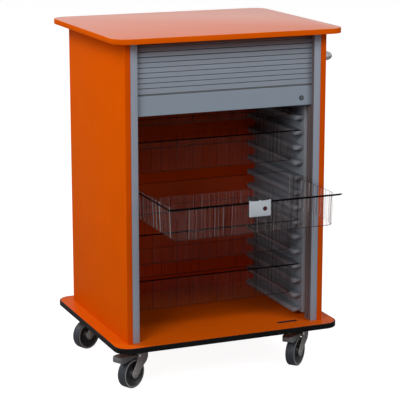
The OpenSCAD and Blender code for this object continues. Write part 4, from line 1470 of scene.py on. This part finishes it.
@dataclass
class Label:
    """The white card in its holder on the pulled bin's rim, with a plain red dot."""

    palette: Palette
    x: float = 7.0
    width: float = 75.0
    height: float = 50.0
    above: float = 2.0
    holder_t: float = 1.2
    card_t: float = 0.55
    body: str = "tray_%d" % PLAN.pulled_level

    def _sheet(self, inset: float, radius: float, near: float, far: float, soft: float) -> Shape:
        """A flat sheet, drawn in from the holder's outline.

        Args:
            inset: how far it is drawn in.
            radius: its corners' radius.
            near: where its front side lies.
            far: where its back side lies.
            soft: the width of the rounding on its edges.

        Returns:
            The sheet's mesh.
        """
        half, high = self.width / 2 - inset, PLAN.bin_rim(PLAN.pulled_level) + self.above - inset
        low = high + 2 * inset - self.height
        plan = rounded_plan((self.x - half, low), (self.x + half, high), radius, 4)
        return Shape().prism(plan, Axis.Y, near, far, soft)

    def build(self) -> None:
        """Makes the holder with its hooks, the card and the dot."""
        front, z = PLAN.bin_setback - PLAN.pull, PLAN.bin_rim(PLAN.pulled_level)
        face = front - self.holder_t
        holder = self._sheet(0.0, 3.0, face, front, 0.2)
        for end in (-1, 1):
            c = self.x + end * (self.width / 2 - 9)
            holder.block((c - 7, front - 1.1, z + 0.35), (c + 7, front + 4.8, z + 1.9), 0.4)
        for end in (-1, 0, 1):
            c = self.x + end * (self.width / 2 - 3)
            holder.block((c - 3, front - 1.15, z + 1.0), (c + 3, front - 0.1, z + 4.6), 0.3)
        holder.skin("label_holder", [self.palette.card], "clear_plastic", self.body)
        card = self._sheet(2.0, 2.0, face - self.card_t, face, 0.15)
        card.skin("label_card", [self.palette.card], "white_card", self.body)
        dot = Shape().disc((self.x + 17, 0, z - 24), Axis.Y, 7.4, front - 1.8, front - 1.7)
        dot.piece("label_dot", [self.palette.dot], "white_card", self.body)


# Handle


@dataclass
class Handle:
    """The push handle: a bent tube on two rosettes."""

    palette: Palette
    radius: float = 12.5
    reach: float = 52.0
    bend: float = 38.0
    inset: float = 58.0
    drop: float = 90.0
    foot_t: float = 5.0

    def build(self) -> None:
        """Makes the tube and its rosettes."""
        x0, z = PLAN.cab_half, PLAN.top_z - self.drop
        ya, yb = self.inset, PLAN.cab_d - self.inset
        root, turn = x0 + self.foot_t - 0.1, x0 + self.reach - self.bend
        plan = [(root, ya), *arc((turn, ya + self.bend), self.bend, -90, 0, 12),
                *arc((turn, yb - self.bend), self.bend, 0, 90, 12), (root, yb)]
        tube = Shape()
        tube.sweep([Vector((x, y, z)) for x, y in plan], self.radius, 28)
        tube.piece("handle_skin", [self.palette.handle], "handle_steel", "cabinet", ["push_handle"])
        feet = Shape()
        for y in (ya, yb):
            feet.disc((x0, y, z), Axis.X, 22.0, 0.0, self.foot_t, 2.2)
            feet.disc((x0, y, z), Axis.X, 15.5, self.foot_t - 1, self.foot_t, 0.4)
        feet.piece("rosettes_skin", [self.palette.fork], "grey_fork", "cabinet", ["handle_rosettes"])


# Casters


@dataclass
class Caster:
    """One swivel caster as it stands at rest, built in its own frame.

    In that frame the wheel trails towards +X and its axle lies along Y.
    """

    palette: Palette
    row: Row
    side: Side
    turn: float
    trail: float = 35.0
    radius: float = 50.0
    tyre: float = 32.0
    shoulder: float = 3.8
    arm_in: float = 18.0
    arm_t: float = 4.0
    spread: float = 297.0
    pedal_z: float = 104.0
    pin: Point = (14.0, 0.0, 108.0)

    @property
    def tag(self) -> str:
        """The part of the names that tells the casters apart."""
        return "%s_%s" % (self.row.value, self.side.tag)

    @property
    def place(self) -> Matrix:
        """The caster's place in the cabinet's frame."""
        y = 55.0 if self.row is Row.FRONT else 502.0
        return (Matrix.Translation((self.side.value * self.spread, y, 0))
                @ Matrix.Rotation(math.radians(180 + self.turn), 4, "Z"))

    @property
    def centre(self) -> Point:
        """The wheel's centre in the caster's own frame."""
        return (self.trail, 0.0, self.radius)

    def build(self) -> None:
        """Makes the wheel, the fork and, in front, the brake pedal."""
        self._tyre()
        self._hub()
        self._fork()
        self._axle()
        if self.row is Row.FRONT:
            self._pedal()
            self._pin()

    def _tyre(self) -> None:
        """The tyre with round shoulders and side rings."""
        h, bead, ring, r = self.tyre / 2, 44.0, 46.4, self.shoulder
        crown = self.radius - r
        profile = [(bead, -h), (ring, -h), *arc((crown, r - h), r, -85, 0, 6), (self.radius, 0.0),
                   *arc((crown, h - r), r, 0, 85, 6), (ring, h), (bead, h)]
        shape = Shape(self.place).revolve(profile, self.centre, Axis.Y, 64)
        obj = shape.skin("tyre_" + self.tag, [self.palette.tyre, self.palette.ring], "tyre_rubber",
                         "wheel_" + self.tag)
        axle, flat = self.place.to_3x3() @ Axis.Y.along, 0.97
        recolour(obj, 1, lambda face: abs(face.normal.dot(axle)) > flat)

    def _hub(self) -> None:
        """The dished hub with a ring at the tyre and a boss at the axle."""
        h = self.tyre / 2
        rim = [(41.2, h - 2.6), (43.9, h - 1.2), (43.9, h - 0.3), (42.6, h - 0.1), (41.0, h - 0.9)]
        dish = [(13.0, 15.9), (15.0, 13.0), (17.5, 9.0), (24.0, 7.6), (34.0, 8.4), (38.5, 11.0),
                (41.4, h - 2.2), (43.9, h - 1.2), (43.9, 0.0), (13.0, 0.0)]
        boss = [(4.3, 16.2), (11.6, 16.2), (13.0, 15.2), (13.0, 9.0), (4.3, 9.0)]
        shape = Shape(self.place)
        for s in (-1, 1):
            for profile, steps, slot in ((rim, 64, 1), (dish, 64, 0), (boss, 40, 1)):
                shape.revolve([(r, s * t) for r, t in profile], self.centre, Axis.Y, steps, slot)
        shape.skin("hub_" + self.tag, [self.palette.hub, self.palette.side_ring], "dark_hub",
                   "wheel_" + self.tag)

    def _fork(self) -> None:
        """The hooded fork: a round crown, a skirt behind it and two arms that narrow to the axle."""
        shape = Shape(self.place).disc((0, 0, 0), Axis.Z, 30.0, 118.0, 134.0, 2.5, steps=56)
        arm = [(-27, 134), (24, 134), (23, 104), (27, 88), (40, 68),
               *arc((self.trail, self.radius), 15.0, 30, -125, 12),
               (19, 44), (6, 60), (-8, 73), (-20, 82), (-27, 96)]
        for s in (-1, 1):
            low, high = sorted((s * self.arm_in, s * (self.arm_in + self.arm_t)))
            shape.prism(arm, Axis.Y, low, high, 1.3)
        skirt = arc((0.0, 0.0), 29.5, 132, 228, 14) + arc((0.0, 0.0), 26.5, 228, 132, 14)
        shape.prism(skirt, Axis.Z, 84.0, 120.0, 0.6)
        shape.skin("fork_" + self.tag, [self.palette.fork], "grey_fork", "swivel_" + self.tag)

    def _axle(self) -> None:
        """The wheel's axle with its two heads."""
        half, end, under = 23.0, 24.5, 22.0
        shape = Shape(self.place).disc(self.centre, Axis.Y, 4.0, -half, half)
        for s in (-1, 1):
            shape.disc(self.centre, Axis.Y, 7.0, s * under, s * end, 1.0)
        shape.skin("axle_" + self.tag, [self.palette.fork], "zinc_steel", "swivel_" + self.tag)

    def _pedal(self) -> None:
        """The brake pedal: a neck between the arms and a wide wedge."""
        low, tip, half, round_r = self.pedal_z, 97, 20, 10
        shape = Shape(self.place).block((6, -17.4, low), (34, 17.4, low + 9), 1.5)
        stations = [31, 45, 58, 66, 74, 86, tip]
        plan = [(x, -half) for x in stations] + arc((tip, -round_r), round_r, -90, 0, 6)[1:]
        plan += arc((tip, round_r), round_r, 0, 90, 6) + [(x, half) for x in reversed(stations[:-1])]

        def under(x: float) -> float:
            """The underside drops in front of the wheel and rises at the tip."""
            dropped = 6 * min(1.0, max(0.0, (x - 58) / 16))
            return low - dropped + max(0.0, 5 * (x - tip) / 10)

        def over(x: float) -> float:
            """The upper side climbs to the tongue and rounds off at the tip."""
            return low + 9 + 9 * min(1.0, (x - 31) / 50) - max(0.0, 4 * (x - tip) / 10)

        faces = shape.rings([[(x, y, under(x)) for x, y in plan], [(x, y, over(x)) for x, y in plan]],
                            cap_low=True, cap_high=True)
        bmesh.ops.recalc_face_normals(shape.mesh, faces=faces)
        shape.round_edges(2.4, 3, faces)
        shape.skin("pedal_" + self.side.tag, [self.palette.pedal], "grey_fork", "brake_" + self.side.tag)

    def _pin(self) -> None:
        """The brake pedal's bright pin with its two collars."""
        shape = Shape(self.place).disc(self.pin, Axis.Y, 3.0, -23.5, 23.5, 0.6)
        collar = [(3.0, 21.9), (5.0, 21.9), (5.0, 22.6), (4.0, 23.2), (3.0, 22.8)]
        for s in (-1, 1):
            shape.revolve([(r, s * t) for r, t in collar], self.pin, Axis.Y, 28)
        shape.skin("pedal_pin_" + self.side.tag, [self.palette.chrome], "zinc_steel",
                   "swivel_front_" + self.side.tag)


# Studio


@dataclass
class Studio:
    """The plain studio: a white surround, a pale floor, soft lamps and the camera."""

    eye: Point = (-2078.9, -4701.2, 1804.8)
    azimuth: float = 22.852
    pitch: float = 13.065
    lens: float = 145.23
    lamp_size: float = 3.7
    floor_reach: float = 30.0

    def build(self) -> None:
        """Sets up the surround, floor, lamps and camera."""
        self._world()
        self._floor()
        self._lamp("key_lamp", (-5540, -4730, 4300), (-100, 200, 700), 340.0)
        self._lamp("fill_lamp", (3910, -5200, 5600), (0, 0, 700), 275.0)
        self._lamp("back_lamp", (-5200, 4300, 7200), (-100, 200, 500), 460.0)
        self._camera()
        scene = bpy.context.scene
        scene.view_settings.view_transform = "Standard"
        scene.cycles.transparent_max_bounces = 48

    def _world(self) -> None:
        """A white surround for the camera and reflections, a softer one for light."""
        world = bpy.data.worlds.new("Studio")
        world.use_nodes = True
        bpy.context.scene.world = world
        g = Graph(world.node_tree)
        ray = g.add("LightPath").outputs
        soft, plain = (g.add("Background", {"Color": colour, "Strength": strength}).outputs[0]
                       for colour, strength in (((0.97, 0.98, 1.0), 0.09), ((1.0, 1.0, 1.0), 1.0)))
        seen = g.math("MAXIMUM", ray["Is Camera Ray"], ray["Is Transmission Ray"])
        mirror = g.math("MULTIPLY", ray["Is Glossy Ray"], 0.75)
        whole = g.cover(g.math("MAXIMUM", seen, mirror), soft, plain)
        g.give(g.add("OutputWorld").inputs["Surface"], whole)

    def _floor(self) -> None:
        """A pale floor that keeps only faint shadows under the wheels."""
        data = bpy.data.meshes.new("studio_floor")
        r = self.floor_reach
        data.from_pydata([(-r, -r, 0), (r, -r, 0), (r, r, 0), (-r, r, 0)], [], [(0, 1, 2, 3)])
        floor = bpy.data.objects.new("studio_floor", data)
        bpy.context.scene.collection.objects.link(floor)
        material, g, surface = new_material("StudioFloor")
        plain, pale = (g.add("BsdfDiffuse", {"Color": (grey, grey, grey)}).outputs[0] for grey in (0.45, 0.3))
        glow = g.add("Emission", {"Color": (1.0, 1.0, 1.0), "Strength": 0.93}).outputs[0]
        seen = g.add("AddShader", {0: glow, 1: pale}).outputs[0]
        g.give(surface, g.cover(g.add("LightPath").outputs["Is Camera Ray"], plain, seen))
        data.materials.append(material)

    def _stand(self, name: str, data: bpy.types.ID, eye: Point, look: Vector) -> bpy.types.Object:
        """Places a lamp or the camera.

        Args:
            name: its name.
            data: its own data.
            eye: where it stands, in the cabinet's frame.
            look: the direction that it looks along.

        Returns:
            The new object.
        """
        obj = bpy.data.objects.new(name, data)
        obj.location = PLAN.place(eye)
        obj.rotation_mode = "QUATERNION"
        obj.rotation_quaternion = look.to_track_quat("-Z", "Y")
        bpy.context.scene.collection.objects.link(obj)
        return obj

    def _lamp(self, name: str, eye: Point, aim: Point, power: float) -> None:
        """A square area lamp that looks at a point.

        Args:
            name: the lamp's name.
            eye: where it stands, in the cabinet's frame.
            aim: the point that it looks at.
            power: its power in watts.
        """
        data = bpy.data.lights.new(name, "AREA")
        data.energy = power
        data.size = self.lamp_size
        lamp = self._stand(name, data, eye, PLAN.place(aim) - PLAN.place(eye))

    def _camera(self) -> None:
        """The photograph's camera, without shift."""
        data = bpy.data.cameras.new("camera")
        data.sensor_width = 36.0
        data.lens = self.lens
        data.clip_end = 100.0
        az, pitch = math.radians(self.azimuth), math.radians(self.pitch)
        look = Vector((math.sin(az) * math.cos(pitch), math.cos(az) * math.cos(pitch), -math.sin(pitch)))
        camera = self._stand("camera", data, self.eye, look)
        bpy.context.scene.camera = camera


# Trolley


def main() -> None:
    """Builds the trolley's sub-assemblies in order, then the studio."""
    logging.basicConfig(level=logging.INFO)
    palette = Palette()
    turns = {(Row.FRONT, Side.LEFT): 28.0, (Row.FRONT, Side.RIGHT): 40.0,
             (Row.REAR, Side.LEFT): 23.0, (Row.REAR, Side.RIGHT): 33.0}
    for assembly in (
        Cabinet(palette), Shutter(palette), *(LedgeWall(palette, side) for side in Side),
        *(Bin(palette, level) for level in range(1, PLAN.bin_levels + 1)), Label(palette), Handle(palette),
        *(Caster(palette, row, side, turn) for (row, side), turn in turns.items()), Studio(),
    ):
        log.info("building %s", type(assembly).__name__)
        assembly.build()
    log.info("the trolley is built")


if __name__ == "__main__":
    main()
